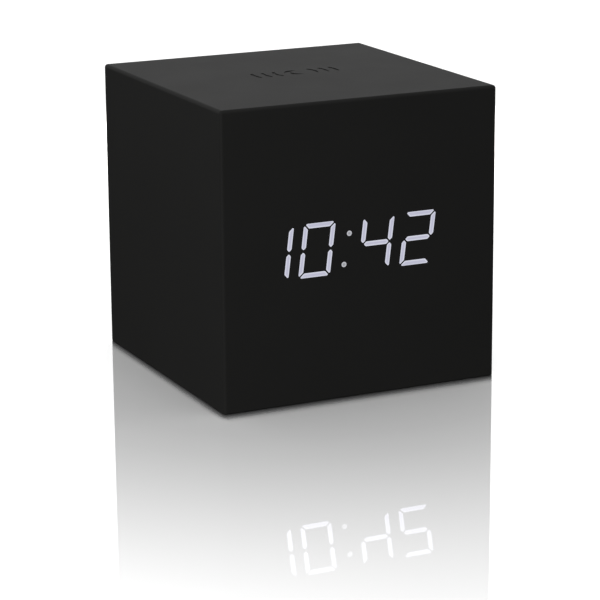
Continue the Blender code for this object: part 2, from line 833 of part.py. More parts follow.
def back_cover():
    cover_plate = rectangle(0, case_middle, cover_half, cover_half, cover_corner_radius)
    cover = prism("back_cover", [cover_plate], cover_inner, cover_outer)

    bay_low, bay_high = bay_bottom - bay_wall, opening_top + latch_rim
    bay_block = rectangle(0, (bay_low + bay_high) / 2, bay_half_length + bay_wall, (bay_high - bay_low) / 2)
    join(cover, prism("bay_block", [bay_block], bay_back, cover_inner + sink))

    for name, x in zip(key_names, key_places):
        guide = circle(x, key_middle, guide_outer_radius)
        join(cover, prism(name + "_guide", [guide], cover_inner - key_guide_height, cover_inner + sink))
    post_end = control_back + seat_gap
    posts = [circle(x, z, control_post_radius, small_round_steps) for x, z in control_post_places]
    join(cover, prism("control_posts", posts, post_end, cover_inner + sink))
    pins = [circle(x, z, control_pin_radius, small_round_steps) for x, z in pinned_posts]
    join(cover, prism("control_pins", pins, control_front - seat_gap, post_end + sink))

    opening_middle, opening_half = (opening_bottom + opening_top) / 2, (opening_top - opening_bottom) / 2
    opening = rectangle(
        0, opening_middle, opening_half_length, opening_half, door_corner_radius + seat_gap
    )
    ridge_top = cell_axis - cell_radius * ridge_share
    bay = rectangle(0, bay_middle, bay_half_length, bay_half_height)
    carve(
        cover,
        prism("door_opening", [opening], door_seat, cover_outer + overrun),
        prism("bay_hollow", [bay], ridge_top, door_seat + overrun),
    )
    for number, z in enumerate(cell_places, 1):
        hollow = circle(cell_axis, z, scallop_radius)
        carve(cover, prism(f"cell_hollow_{number}", [hollow], -bay_half_length, bay_half_length, "X"))

    for name, side, low, high, _ in contact_plates():
        recess = rectangle(
            cell_axis, (low + high) / 2,
            contact_reach + seat_gap, (high - low) / 2 + contact_reach + seat_gap,
        )
        start, end = sorted(((contact_inner - seat_gap) * side, bay_half_length * side))
        carve(cover, prism(name + "_recess", [recess], start, end, "X"))

    latch_low = bay_top + latch_web
    latch_high = door_top + latch_hook + running_gap
    latch_half_width = latch_width / 2 + running_gap
    pocket_floor = door_inner - latch_depth - running_gap
    pocket = rectangle(0, (latch_low + opening_top) / 2, latch_half_width, (opening_top - latch_low) / 2)
    gate_low = opening_top - sink
    gate = rectangle(0, (gate_low + latch_high) / 2, latch_half_width, (latch_high - gate_low) / 2)
    carve(
        cover,
        prism("latch_pocket", [pocket], pocket_floor, door_seat + overrun),
        prism("latch_gate", [gate], pocket_floor, cover_inner),
    )
    swing = math.hypot(tongue_reach, cover_outer - tongue_inner)
    slot_floor = cover_outer - swing - running_gap
    slot_half_width = tongue_width / 2 + running_gap
    for name, x in (("left", -tongue_offset), ("right", tongue_offset)):
        low, high = bay_low - overrun, bay_bottom + overrun
        passage = rectangle(x, (low + high) / 2, slot_half_width, (high - low) / 2)
        throat = rectangle(x, (opening_bottom + high) / 2, slot_half_width, (high - opening_bottom) / 2)
        carve(
            cover,
            prism(name + "_tongue_passage", [passage], slot_floor, cover_inner),
            prism(name + "_tongue_throat", [throat], slot_floor, door_seat + overrun),
        )
    tab_slots = [
        rectangle(tab_x, cell_places[0], contact_thickness / 2 + seat_gap, tab_width / 2 + seat_gap),
        rectangle(-tab_x, cell_places[-1], contact_thickness / 2 + seat_gap, tab_width / 2 + seat_gap),
    ]
    carve(cover, prism("tab_slots", tab_slots, bay_back - overrun, cell_axis))

    notch = rectangle(
        0, opening_top, finger_notch_half_width, finger_notch_height, finger_notch_height / 2
    )
    carve(cover, prism("finger_notch", [notch], cover_outer - finger_notch_depth, cover_outer + overrun))

    guides = [circle(x, key_middle, guide_radius) for x in key_places]
    key_holes = [circle(x, key_middle, key_radius + running_gap) for x in key_places]
    carve(
        cover,
        prism("guide_bores", guides, cover_inner - key_guide_height - overrun, cover_inner),
        prism("key_holes", key_holes, cover_inner - overrun, cover_outer + overrun),
    )
    socket_slot = stadium(
        socket_shift, key_middle, socket_width / 2 + seat_gap, socket_height / 2 + seat_gap
    )
    plug_recess = stadium(
        socket_shift, key_middle,
        socket_width / 2 + plug_recess_margin, socket_height / 2 + plug_recess_margin,
    )
    carve(
        cover,
        prism("socket_slot", [socket_slot], cover_inner - overrun, cover_outer + overrun),
        prism("plug_recess", [plug_recess], cover_outer - plug_recess_depth, cover_outer + overrun),
    )
    sound_holes = [circle(buzzer_shift, key_middle, grille_hole_radius, small_round_steps)]
    for step in range(grille_ring_holes):
        angle = 2 * math.pi * step / grille_ring_holes
        x = buzzer_shift + grille_ring_radius * math.cos(angle)
        z = key_middle + grille_ring_radius * math.sin(angle)
        sound_holes.append(circle(x, z, grille_hole_radius, small_round_steps))
    sound_holes.append(
        circle(microphone_shift, key_middle + microphone_rise, grille_hole_radius, small_round_steps)
    )
    carve(cover, prism("sound_holes", sound_holes, cover_inner - overrun, cover_outer + overrun))

    pilot = board_screw["shank_radius"] + seat_gap
    pilots = [circle(x, z, pilot, small_round_steps) for x, z in screwed_posts]
    pilot_end = control_front - seat_gap + board_screw["length"] + seat_gap
    carve(cover, prism("control_pilots", pilots, control_back, pilot_end))
    head = cover_screw["head_radius"] + seat_gap
    shank = cover_screw["shank_radius"] + seat_gap
    counterbores = [circle(x, z, head) for x, z in pillar_places]
    clearances = [circle(x, z, shank, small_round_steps) for x, z in pillar_places]
    carve(
        cover,
        prism("counterbores", counterbores, cover_outer - counterbore_depth, cover_outer + overrun),
        prism("screw_clearances", clearances, cover_inner - overrun, cover_outer + overrun),
    )
    give_finish(cover, *moulded_black)
    for number, (x, z) in enumerate(pillar_places, 1):
        screw(f"cover_screw_{number}", cover_screw, x, screw_seat, z, 1)


def battery_door():
    """The door is one moulding with its two tongues, its spring latch and the ribs that hold the cells."""
    middle, half_height = (door_bottom + door_top) / 2, (door_top - door_bottom) / 2
    plate = rectangle(0, middle, door_half_length, half_height, door_corner_radius)
    door = prism("battery_door", [plate], door_inner, cover_outer)

    tongue = [
        (tongue_inner, door_bottom - tongue_reach),
        (tongue_outer, door_bottom - tongue_reach),
        (tongue_outer, door_bottom),
        (door_inner + sink, door_bottom),
        (door_inner + sink, door_bottom + tongue_root),
        (tongue_inner, door_bottom + tongue_root),
    ]
    for name, x in (("left_tongue", -tongue_offset), ("right_tongue", tongue_offset)):
        join(door, prism(name, [tongue], x - tongue_width / 2, x + tongue_width / 2, "X"))

    for name, x in (("left_rib", -door_rib_offset), ("right_rib", door_rib_offset)):
        rib = rectangle(x, bay_middle, door_rib_width / 2, bay_half_height - tongue_root)
        join(door, prism(name, [rib], door_inner - door_rib_height, door_inner + sink))
    for number, z in enumerate(cell_places, 1):
        hollow = circle(cell_axis, z, scallop_radius)
        carve(door, prism(f"door_hollow_{number}", [hollow], -bay_half_length, bay_half_length, "X"))

    leaf_gap = latch_leaf + latch_opening
    notch = rectangle(0, door_top, latch_width / 2 + running_gap, leaf_gap)
    carve(door, prism("latch_notch", [notch], door_inner - overrun, cover_outer + overrun))
    hook_top = cover_inner - running_gap
    bend = door_inner - latch_depth + leaf_gap
    inner_low = door_top - leaf_gap - latch_leaf
    latch = [
        (door_inner + sink, inner_low),
        (door_inner + sink, inner_low + latch_leaf),
        (bend, inner_low + latch_leaf),
        (bend - latch_opening / 2, door_top - leaf_gap + latch_opening / 2),
        (bend, door_top - latch_leaf),
        (cover_outer, door_top - latch_leaf),
        (cover_outer, door_top),
        (hook_top, door_top),
        (hook_top, door_top + latch_hook),
        (hook_top - latch_hook, door_top + latch_hook),
        (hook_top - 3 * latch_hook, door_top),
        (bend, door_top),
        (bend - latch_leaf, door_top - latch_leaf / 2),
        (bend - leaf_gap, (inner_low + door_top) / 2),
        (bend - latch_leaf, inner_low + latch_leaf / 2),
        (bend, inner_low),
    ]
    join(door, prism("door_latch", [latch], -latch_width / 2, latch_width / 2, "X"))

    first = door_top - leaf_gap - 2 * groove_pitch
    grooves = [
        stadium(0, first - index * groove_pitch, groove_length / 2, groove_width / 2)
        for index in range(groove_count)
    ]
    carve(door, prism("door_grooves", grooves, cover_outer - groove_depth, cover_outer + overrun))
    set_origin(door, Vector((0, cover_outer, door_bottom)))
    give_finish(door, *moulded_black)


def set_origin(piece, place):
    """Moves the object's origin to a place and leaves its shape where it is."""
    piece.data.transform(Matrix.Translation(-place))
    piece.location = place


def cells():
    for number, (z, turn) in enumerate(zip(cell_places, cell_turns), 1):
        plus, minus = cell_end * turn, (cell_end - cell_length) * turn
        shoulder = (cell_length - cell_nub_height) * turn + minus
        profile = [
            (0, minus),
            (cell_radius - cell_shoulder, minus),
            (cell_radius, minus + cell_shoulder * turn),
            (cell_radius, shoulder - cell_shoulder * turn),
            (cell_radius - cell_shoulder, shoulder),
            (cell_nub_radius, shoulder),
            (cell_nub_radius, plus),
            (0, plus),
        ]
        cell = turned(f"battery_cell_{number}", profile, (0, cell_axis, z), "X")
        give_finish(cell, *cell_jacket)

        near = minus - (seat_gap + spring_wire_radius) * turn
        far = near - (spring_length - 2 * spring_wire_radius) * turn
        count = round(spring_turns * spring_turn_points)
        points = []
        for step in range(count + 1):
            share = step / count
            angle = 2 * math.pi * step / spring_turn_points
            radius = spring_narrow_radius + (spring_wide_radius - spring_narrow_radius) * share
            points.append(Vector((
                near + (far - near) * share,
                cell_axis + radius * math.cos(angle),
                z + radius * math.sin(angle),
            )))
        spring = tube(f"battery_spring_{number}", points, spring_wire_radius, 1)
        give_finish(spring, *spring_steel)


def contact_plates():
    """Each plate's name, end of the bay, lowest and highest cell, and whether it has a tab."""
    first, last = cell_places[0], cell_places[-1]
    middle = cell_places[len(cell_places) // 2]
    return (
        ("positive_contact", 1, first, first, True),
        ("lower_link_contact", -1, first, middle, False),
        ("upper_link_contact", 1, middle, last, False),
        ("negative_contact", -1, last, last, True),
    )


def contacts():
    """Nickel plates in the bay's ends: two with a tab through the floor, and two that link neighbours."""
    for name, side, low, high, tabbed in contact_plates():
        outline = rectangle(
            cell_axis, (low + high) / 2,
            contact_reach, (high - low) / 2 + contact_reach, contact_corner_radius,
        )
        start, end = sorted((contact_inner * side, contact_outer * side))
        plate = prism(name, [outline], start, end, "X")
        if tabbed:
            tab_end = bay_back - tab_proud
            tab = rectangle((tab_end + cell_axis) / 2, low, (cell_axis - tab_end) / 2, tab_width / 2)
            join(plate, prism(name + "_tab", [tab], start, end, "X"))
        give_finish(plate, *contact_nickel)


def keys():
    """Each key is a domed cap on a flange that its guide holds, over the plunger of a board switch."""
    top = cover_outer + key_proud
    for name, x in zip(key_names, key_places):
        profile = [
            (0, flange_bottom),
            (key_flange_radius, flange_bottom),
            (key_flange_radius, flange_top),
            (key_radius, flange_top),
            (key_radius, top - key_dome - key_edge),
            (key_radius - key_edge, top - key_dome),
            (key_radius / 2, top - key_dome / 4),
            (0, top),
        ]
        profile = [(radius, y - cover_outer) for radius, y in profile]
        key = turned(name + "_key", profile, (x, cover_outer, key_middle))
        give_finish(key, *moulded_black)

        plunger_bottom = switch_top - plunger_engaged
        profile = [
            (0, plunger_bottom),
            (plunger_radius, plunger_bottom),
            (plunger_radius, plunger_top - key_edge),
            (plunger_radius - key_edge, plunger_top),
            (0, plunger_top),
        ]
        profile = [(radius, y - plunger_top) for radius, y in profile]
        place = (x, plunger_top, key_middle)
        plunger = turned(name + "_plunger", profile, place, steps=small_round_steps)
        give_finish(plunger, *package_black)

        half = switch_side / 2
        foot = control_back + seat_gap
        outline = rectangle(x, key_middle, half, half, switch_corner_radius, 1)
        switch = prism(name + "_switch", [outline], foot, switch_top)
        legs = [
            rectangle(x + side * half, key_middle + rise, switch_leg_reach, switch_leg_width / 2)
            for side in (-1, 1)
            for rise in (-switch_leg_offset, switch_leg_offset)
        ]
        join(switch, prism(name + "_legs", legs, foot, foot + switch_leg_width))
        bore = circle(x, key_middle, plunger_radius + running_gap, small_round_steps)
        bore_end = plunger_bottom - key_travel - seat_gap
        carve(switch, prism(name + "_switch_bore", [bore], bore_end, switch_top + overrun))
        give_finish(switch, *spring_steel)


def control_board():
    outline = rectangle(0, key_middle, control_half_width, control_half_height, board_corner_radius)
    board = prism("control_board", [outline], control_front, control_back)
    shank = board_screw["shank_radius"] + seat_gap
    holes = [circle(x, z, shank, small_round_steps) for x, z in screwed_posts]
    holes += [circle(x, z, control_pin_radius + seat_gap, small_round_steps) for x, z in pinned_posts]
    carve(board, prism("control_board_holes", holes, control_front - overrun, control_back + overrun))
    give_finish(board, *board_green)
    for number, (x, z) in enumerate(screwed_posts, 1):
        screw(f"control_screw_{number}", board_screw, x, control_front - seat_gap, z, -1)


def power_socket():
    """A slim two-way power inlet: a drawn metal shell with a tongue inside it."""
    back, mouth = control_back + seat_gap, cover_outer - socket_setback
    half_width, half_height = socket_width / 2, socket_height / 2
    outer = stadium(socket_shift, key_middle, half_width, half_height)
    inner = stadium(socket_shift, key_middle, half_width - socket_skin, half_height - socket_skin)
    shell = prism("power_socket_shell", [outer], back, mouth)
    carve(shell, prism("socket_bore", [inner], mouth - socket_depth, mouth + overrun))
    give_finish(shell, *spring_steel)

    floor = mouth - socket_depth + seat_gap
    base = stadium(
        socket_shift, key_middle, half_width - socket_skin - seat_gap, half_height - socket_skin - seat_gap
    )
    tongue = rectangle(socket_shift, key_middle, socket_tongue_width / 2, socket_tongue_thickness / 2)
    insert = prism("power_socket_tongue", [base], floor, floor + socket_floor)
    join(insert, prism("socket_blade", [tongue], floor + socket_floor / 2, mouth - socket_tongue_setback))
    give_finish(insert, *package_black)


def sound_pieces():
    foot = control_back + seat_gap
    buzzer_top = foot + buzzer_height
    profile = [
        (0, foot),
        (buzzer_radius, foot),
        (buzzer_radius, buzzer_top - buzzer_edge),
        (buzzer_radius - buzzer_edge, buzzer_top),
        (buzzer_port_radius, buzzer_top),
        (buzzer_port_radius, buzzer_top - buzzer_port_depth),
        (0, buzzer_top - buzzer_port_depth),
    ]
    profile = [(radius, y - foot) for radius, y in profile]
    buzzer = turned("alarm_buzzer", profile, (buzzer_shift, foot, key_middle))
    give_finish(buzzer, *package_black)

    top = foot + microphone_height
    profile = [
        (0, foot),
        (microphone_radius, foot),
        (microphone_radius, top - microphone_edge),
        (microphone_radius - microphone_edge, top),
        (microphone_port_radius, top),
        (microphone_port_radius, top - microphone_port_depth),
        (0, top - microphone_port_depth),
    ]
    place = (microphone_shift, foot, key_middle + microphone_rise)
    profile = [(radius, y - foot) for radius, y in profile]
    microphone = turned("microphone", profile, place, steps=small_round_steps)
    give_finish(microphone, *spring_steel)


def supply_pieces():
    """The capacitor, the crystal and the regulator on the control board's inner face."""
    foot = control_parts_foot
    top = foot - capacitor_height
    waist = foot - capacitor_radius / 2
    profile = [
        (0, foot),
        (capacitor_radius, foot),
        (capacitor_radius, waist + capacitor_groove),
        (capacitor_radius - capacitor_groove, waist),
        (capacitor_radius, waist - capacitor_groove),
        (capacitor_radius, top + capacitor_groove),
        (capacitor_radius - capacitor_groove, top),
        (0, top),
    ]
    place = (capacitor_shift, foot, key_middle - capacitor_drop)
    profile = [(radius, y - foot) for radius, y in profile]
    capacitor = turned("supply_capacitor", profile, place)
    give_finish(capacitor, *package_black)

    half = crystal_length / 2
    profile = [
        (0, -half),
        (crystal_radius, -half),
        (crystal_radius, -half + crystal_rim),
        (crystal_radius - crystal_rim, -half + crystal_rim),
        (crystal_radius - crystal_rim, half - crystal_rim),
        (crystal_radius - 2 * crystal_rim, half),
        (0, half),
    ]
    place = (crystal_shift, foot - crystal_radius, key_middle - crystal_drop)
    crystal = turned("clock_crystal", profile, place, "X", small_round_steps)
    give_finish(crystal, *spring_steel)

    up = key_middle + regulator_rise
    body_low, body_high = foot - regulator_depth, foot
    outline = rectangle(regulator_shift, up, regulator_width / 2, regulator_height / 2)
    regulator = prism("supply_regulator", [outline], body_low, body_high)
    reach = regulator_height / 2 + regulator_leg_reach
    feet = [
        rectangle(
            regulator_shift + place * regulator_leg_pitch, up - reach / 2, regulator_leg_width / 2, reach / 2
        )
        for place in (-1, 0, 1)
    ]
    tab = rectangle(regulator_shift, up + reach / 2, regulator_tab_width / 2, reach / 2)
    leg_low = foot - regulator_leg_thickness
    leg_high = foot - regulator_leg_thickness / 4
    join(
        regulator,
        prism("regulator_feet", feet, leg_low, leg_high),
        prism("regulator_tab", [tab], leg_low, leg_high),
    )
    give_finish(regulator, *package_black)


def wires():
    """The two supply wires from the bay's tabs to the control board."""
    start = bay_back - tab_proud - seat_gap - wire_radius
    board = control_parts_foot
    pad_x = control_half_width - supply_wire_inset
    pad_z = key_middle - supply_wire_drop
    for name, side, z, sleeve in (
        ("positive_wire", 1, cell_places[0], red_sleeve),
        ("negative_wire", -1, cell_places[-1], black_sleeve),
    ):
        lane = start - wire_stand_off / 2
        route = [
            Vector((side * tab_x, start, z - tab_width / 2)),
            Vector((side * tab_x, start, z + tab_width / 2)),
            Vector((side * tab_x, lane, (z + pad_z) / 2)),
            Vector((side * pad_x, lane, pad_z - wire_stand_off)),
            Vector((side * pad_x, (lane + board) / 2, pad_z)),
            Vector((side * pad_x, board, pad_z)),
        ]
        wire = tube(name, smooth_route(route, wire_steps), wire_radius, 1)
        give_finish(wire, *sleeve)


def touch_sensor():
    """A plate held under the top wall by two heat stakes, and its wire to the control board."""
    outline = rectangle(
        sign_shift, sign_depth, touch_plate_length / 2, touch_plate_width / 2, touch_plate_corner
    )
    plate = prism("touch_plate", [outline], touch_plate_bottom, touch_plate_top, "Z")
    holes = [
        circle(sign_shift + side * stake_offset, sign_depth, stake_radius + seat_gap, small_round_steps)
        for side in (-1, 1)
    ]
    low, high = touch_plate_bottom - overrun, touch_plate_top + overrun
    carve(plate, prism("touch_plate_holes", holes, low, high, "Z"))
    give_finish(plate, *contact_nickel)

    x = sign_shift + touch_wire_shift
    level = touch_plate_bottom - seat_gap - wire_radius
    board = control_parts_foot
    pad_z = key_middle + control_connector_rise
    pad_x = x + connector_width / 2
    edge = sign_depth + touch_plate_width / 2
    route = [
        Vector((x, edge - wire_stand_off, level)),
        Vector((x, edge, level)),
        Vector(((x + pad_x) / 2, (edge + board) / 2, (level + pad_z) / 2 - wire_stand_off)),
        Vector((pad_x, board - wire_stand_off, pad_z)),
        Vector((pad_x, board, pad_z)),
    ]
    wire = tube("touch_wire", smooth_route(route, wire_steps), wire_radius, 1)
    give_finish(wire, *black_sleeve)


for old in list(bpy.data.objects):
    bpy.data.objects.remove(old)

case_shell()
display_film()
display_reflector()
display_board()
chip("display_driver_chip", display_centre, display_parts_foot, display_middle - driver_drop, 1)
connector("display_connector", 0, display_parts_foot, display_middle + display_connector_rise, 1)
back_cover()
battery_door()
cells()
contacts()
keys()
control_board()
chip("clock_chip", 0, control_parts_foot, key_middle - driver_drop, -1)
connector("control_connector", 0, control_parts_foot, key_middle + control_connector_rise, -1)
ribbon_cable()
power_socket()
sound_pieces()
supply_pieces()
wires()
touch_sensor()
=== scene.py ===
# The looks of a cube alarm clock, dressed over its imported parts.
# Metres, +Z up. The cube stands on z = 0, centred on x and y, and its front faces -Y.
import math

import bmesh
import bpy
from mathutils import Matrix, Vector


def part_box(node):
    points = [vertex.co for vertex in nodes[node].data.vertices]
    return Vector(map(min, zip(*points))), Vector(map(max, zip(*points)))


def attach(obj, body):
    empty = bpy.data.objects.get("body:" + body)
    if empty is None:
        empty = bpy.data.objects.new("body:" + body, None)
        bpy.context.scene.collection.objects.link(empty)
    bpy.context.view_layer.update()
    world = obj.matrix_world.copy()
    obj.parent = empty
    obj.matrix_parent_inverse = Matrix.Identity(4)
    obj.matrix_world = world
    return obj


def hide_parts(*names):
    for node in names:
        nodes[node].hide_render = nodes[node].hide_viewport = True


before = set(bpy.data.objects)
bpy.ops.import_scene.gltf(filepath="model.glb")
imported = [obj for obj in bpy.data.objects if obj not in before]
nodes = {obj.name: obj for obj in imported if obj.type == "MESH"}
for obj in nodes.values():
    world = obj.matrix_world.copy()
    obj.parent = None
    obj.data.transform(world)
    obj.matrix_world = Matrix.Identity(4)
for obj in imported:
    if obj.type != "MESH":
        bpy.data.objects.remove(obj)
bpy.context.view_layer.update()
bpy.context.scene.view_settings.view_transform = "Standard"
print("frame loaded,", len(nodes), "nodes")


def spanOf(node):
    low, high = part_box(node)
    return (low + high) / 2, (high - low) / 2


def newObject(name, data):
    made = bpy.data.objects.new(name, data)
    bpy.context.scene.collection.objects.link(made)
    return made


caseMiddle, caseHalf = spanOf("case_shell")
caseSide = 2 * caseHalf.x

# The photograph's viewpoint, its place in sides of the cube from the middle of its foot
cameraView = {
    "azimuth": math.radians(-25.48),
    "elevation": math.radians(15.00),
    "roll": math.radians(-0.41),
    "place": (-3.637, -7.658, 2.478),
    "lens": 151.6,
    "sensor": 36.0,
    "clip": (0.01, 20.0),
}


def setCamera(view):
    turn, rise, roll = view["azimuth"], view["elevation"], view["roll"]
    back = Vector((math.sin(turn) * math.cos(rise), -math.cos(turn) * math.cos(rise), math.sin(rise)))
    right = (-back).cross(Vector((0, 0, 1))).normalized()
    up = back.cross(right)
    across = right * math.cos(roll) + up * math.sin(roll)
    upward = up * math.cos(roll) - right * math.sin(roll)
    data = bpy.data.cameras.new("photoCamera")
    data.lens, data.sensor_width = view["lens"], view["sensor"]
    data.clip_start, data.clip_end = view["clip"]
    camera = newObject("photoCamera", data)
    facing = Matrix((across, upward, back)).transposed().to_4x4()
    camera.matrix_world = Matrix.Translation(Vector(view["place"]) * caseSide) @ facing
    bpy.context.scene.camera = camera


setCamera(cameraView)


# Material making, shared by the finishes
noiseRange = (0.3, 0.7)             # between these lie nearly all the values of a noise


def feed(tree, node, values):
    # a socket is linked, and anything else is set as the input's own value
    for key, value in values.items():
        socket = node.inputs[key]
        if isinstance(value, bpy.types.NodeSocket):
            tree.links.new(value, socket)
        else:
            socket.default_value = value
    return node


def addNode(tree, kind, values, **settings):
    node = tree.nodes.new("ShaderNode" + kind)
    for setting, value in settings.items():
        setattr(node, setting, value)
    return feed(tree, node, values)


def newFinish(name, evenValues):
    material = bpy.data.materials.new(name)
    material.use_nodes = True
    tree = material.node_tree
    shader = feed(tree, tree.nodes["Principled BSDF"], evenValues)
    return material, tree, shader, surfacePlace(tree)


def surfacePlace(tree):
    return tree.nodes.new("ShaderNodeTexCoord").outputs["Object"]


def speckle(tree, place, size, detail=2.0):
    return addNode(tree, "TexNoise", {"Scale": 1 / size, "Detail": detail, "Vector": place}).outputs["Fac"]


def clouds(tree, place, size):
    return speckle(tree, place, size, 3.0)


def spread(tree, factor, low, high, start=noiseRange[0], end=noiseRange[1]):
    limits = {"From Min": start, "From Max": end, "To Min": low, "To Max": high}
    return addNode(tree, "MapRange", {"Value": factor, **limits}).outputs[0]


def tones(tree, factor, stops):
    ramp = addNode(tree, "ValToRGB", {"Fac": factor})
    elements = ramp.color_ramp.elements
    while len(elements) < len(stops):
        elements.new(1)
    for element, (position, colour) in zip(elements, stops):
        element.position = position
        element.color = (*colour, 1)
    return ramp.outputs["Color"]


def clouded(tree, cloud, colour, darker, lighter=0.0):
    dark, light = (tuple(tone * (1 + change) for tone in colour) for change in (-darker, lighter))
    return tones(tree, cloud, tuple(zip(noiseRange, (dark, light))))


def relief(tree, height, depth):
    return addNode(tree, "Bump", {"Distance": depth, "Height": height}).outputs[0]


def grain(tree, place, look):
    return relief(tree, speckle(tree, place, look["grainSize"]), look["grainDepth"])


def blend(tree, mask, first, second, kind="FLOAT"):
    mix = addNode(tree, "Mix", {}, data_type=kind)
    sockets = [number for number, socket in enumerate(mix.inputs) if socket.enabled]
    values = [(*value, 1) if isinstance(value, tuple) else value for value in (mask, first, second)]
    feed(tree, mix, dict(zip(sockets, values)))
    return next(socket for socket in mix.outputs if socket.enabled)


def calculate(tree, operation, *values):
    return addNode(tree, "Math", dict(enumerate(values)), operation=operation).outputs[0]


def distance(tree, value, place):
    return calculate(tree, "ABSOLUTE", calculate(tree, "SUBTRACT", value, place))


def alongAxis(tree, place, axis):
    return addNode(tree, "SeparateXYZ", {0: place}).outputs[axis]


def beyond(tree, value, limit, blur=0.00002):
    # 0 below the limit and 1 above it
    return spread(tree, value, 0.0, 1.0, limit - blur, limit + blur)


# Soft white tent above the table, dark below it, so that the upright faces stay deep black
studio = {
    "tentStrength": 1.22,
    "belowStrength": 0.02,
    "tentEdge": (0.44, 0.48),       # where the ramp turns from dark to light, 0.5 is level
    "boxSize": 0.60,
    "boxPlace": (0, 0, 0.90),
    "boxPower": 1.6,
    "cardSize": 0.14,
    "cardPlace": (-0.300, -0.215, 0.050),
    "cardPower": 0.85,
    "rearSize": 0.10,
    "rearPlace": (0.17, 0.33, 0.015),   # under the level of the top face, for the back alone
    "rearPower": 1.6,
}


def lightStudio(look):
    world = bpy.data.worlds.new("tent")
    bpy.context.scene.world = world
    world.use_nodes = True
    tree = world.node_tree
    towards = tree.nodes.new("ShaderNodeTexCoord").outputs["Generated"]
    height = spread(tree, alongAxis(tree, towards, "Z"), 0.0, 1.0, -1.0, 1.0)
    darkEnd, lightStart = look["tentEdge"]
    sky = tones(tree, height, ((darkEnd, (look["belowStrength"],) * 3), (lightStart, (1, 1, 1))))
    feed(tree, tree.nodes["Background"], {"Strength": look["tentStrength"], "Color": sky})
    for name in ("box", "card", "rear"):
        data = bpy.data.lights.new(name + "Light", "AREA")
        data.size, data.energy = look[name + "Size"], look[name + "Power"]
        lamp = newObject(name + "Light", data)
        lamp.location = look[name + "Place"]
        lamp.rotation_euler = (caseMiddle - lamp.location).to_track_quat("-Z", "Y").to_euler()
        lamp.visible_camera = False


lightStudio(studio)
print("camera and tent set")

# Mesh making, shared by the pieces
making = {
    "edgeSteps": 8,
    "cornerSteps": 8,
    "roundSteps": 48,
    "boreSteps": 24,
    "dotSteps": 32,
    "smoothAngle": math.radians(32),
    "overrun": 0.001,
    "weld": 1e-7,
    "sharpestMitre": 0.3,
    "easeShare": 0.4,               # the most of a side that an eased corner takes
}


def pointAt(across, up, along, axis):
    if axis == "X":
        return Vector((along, across, up))
    if axis == "Y":
        return Vector((across, along, up))
    return Vector((across, up, along))


def newPiece(name, bm):
    bmesh.ops.recalc_face_normals(bm, faces=bm.faces)
    mesh = bpy.data.meshes.new(name)
    bm.to_mesh(mesh)
    bm.free()
    return newObject(name, mesh)


def paint(finish, *pieces):
    for piece in pieces:
        piece.data.materials.append(finish)


def shadeSoft(piece):
    piece.data.shade_smooth()
    piece.data.set_sharp_from_angle(angle=making["smoothAngle"])
    normals = piece.modifiers.new("flatFacesRule", "WEIGHTED_NORMAL")
    normals.keep_sharp = True


def arc(across, up, radius, start, sweep, steps, skip=0):
    # without as many of its points as skip at each end
    turns = [start + sweep * step / max(steps, 1) for step in range(skip, steps + 1 - skip)]
    return [(across + radius * math.cos(turn), up + radius * math.sin(turn)) for turn in turns]


def rectangle(across, up, halfAcross, halfUp, radius=0):
    steps = making["cornerSteps"] if radius else 0
    outline = []
    for quarter, (side, rise) in enumerate(((1, 1), (-1, 1), (-1, -1), (1, -1))):
        outline += arc(
            across + side * (halfAcross - radius), up + rise * (halfUp - radius), radius,
            quarter * math.pi / 2, math.pi / 2, steps,
        )
    return outline


def circle(across, up, radius, steps=making["roundSteps"]):
    return arc(across, up, radius, 0, 2 * math.pi, steps)[:-1]


def slotShape(across, up, halfAcross, halfUp):
    steps = 2 * making["cornerSteps"]
    ends = [
        arc(across + side * (halfAcross - halfUp), up, halfUp, -side * math.pi / 2, math.pi, steps)
        for side in (1, -1)
    ]
    return ends[0] + ends[1]


def neighbours(outline):
    points = [Vector(point) for point in outline]
    return list(zip(points[-1:] + points[:-1], points, points[1:] + points[:1]))


def insetOutline(outline, inset):
    # each side moved inward, and neighbours met again
    corners = neighbours(outline)
    area = sum(here.x * after.y - after.x * here.y for before, here, after in corners)
    facing = math.copysign(1, area)
    moved = []
    for before, here, after in corners:
        coming, going = (here - before).normalized(), (after - here).normalized()
        comingIn = Vector((-coming.y, coming.x)) * facing
        goingIn = Vector((-going.y, going.x)) * facing
        bisector = (comingIn + goingIn).normalized()
        moved.append(here + bisector * inset / max(bisector.dot(goingIn), making["sharpestMitre"]))
    return [tuple(point) for point in moved]


def easeCorners(outline, ease):
    # each corner cut to a short three-point round
    most = making["easeShare"]
    eased = []
    for before, corner, after in neighbours(outline):
        back, on = before - corner, after - corner
        start = corner + back.normalized() * min(ease, most * back.length)
        end = corner + on.normalized() * min(ease, most * on.length)
        eased += [tuple(start), tuple((start + 2 * corner + end) / 4), tuple(end)]
    return eased


def bridge(bm, rings):
    # one skin over rings of equal count, closed at its first and last
    bm.faces.new(rings[0])
    bm.faces.new(rings[-1])
    for lower, upper in zip(rings, rings[1:]):
        for index in range(len(lower)):
            bm.faces.new((lower[index - 1], lower[index], upper[index], upper[index - 1]))


def prism(name, outlines, start, end, axis="Y"):
    bm = bmesh.new()
    for outline in outlines:
        face = bm.faces.new([bm.verts.new(pointAt(across, up, start, axis)) for across, up in outline])
        made = bmesh.ops.extrude_face_region(bm, geom=[face])
        moved = [item for item in made["geom"] if isinstance(item, bmesh.types.BMVert)]
        bmesh.ops.translate(bm, vec=pointAt(0, 0, end - start, axis), verts=moved)
    return newPiece(name, bm)


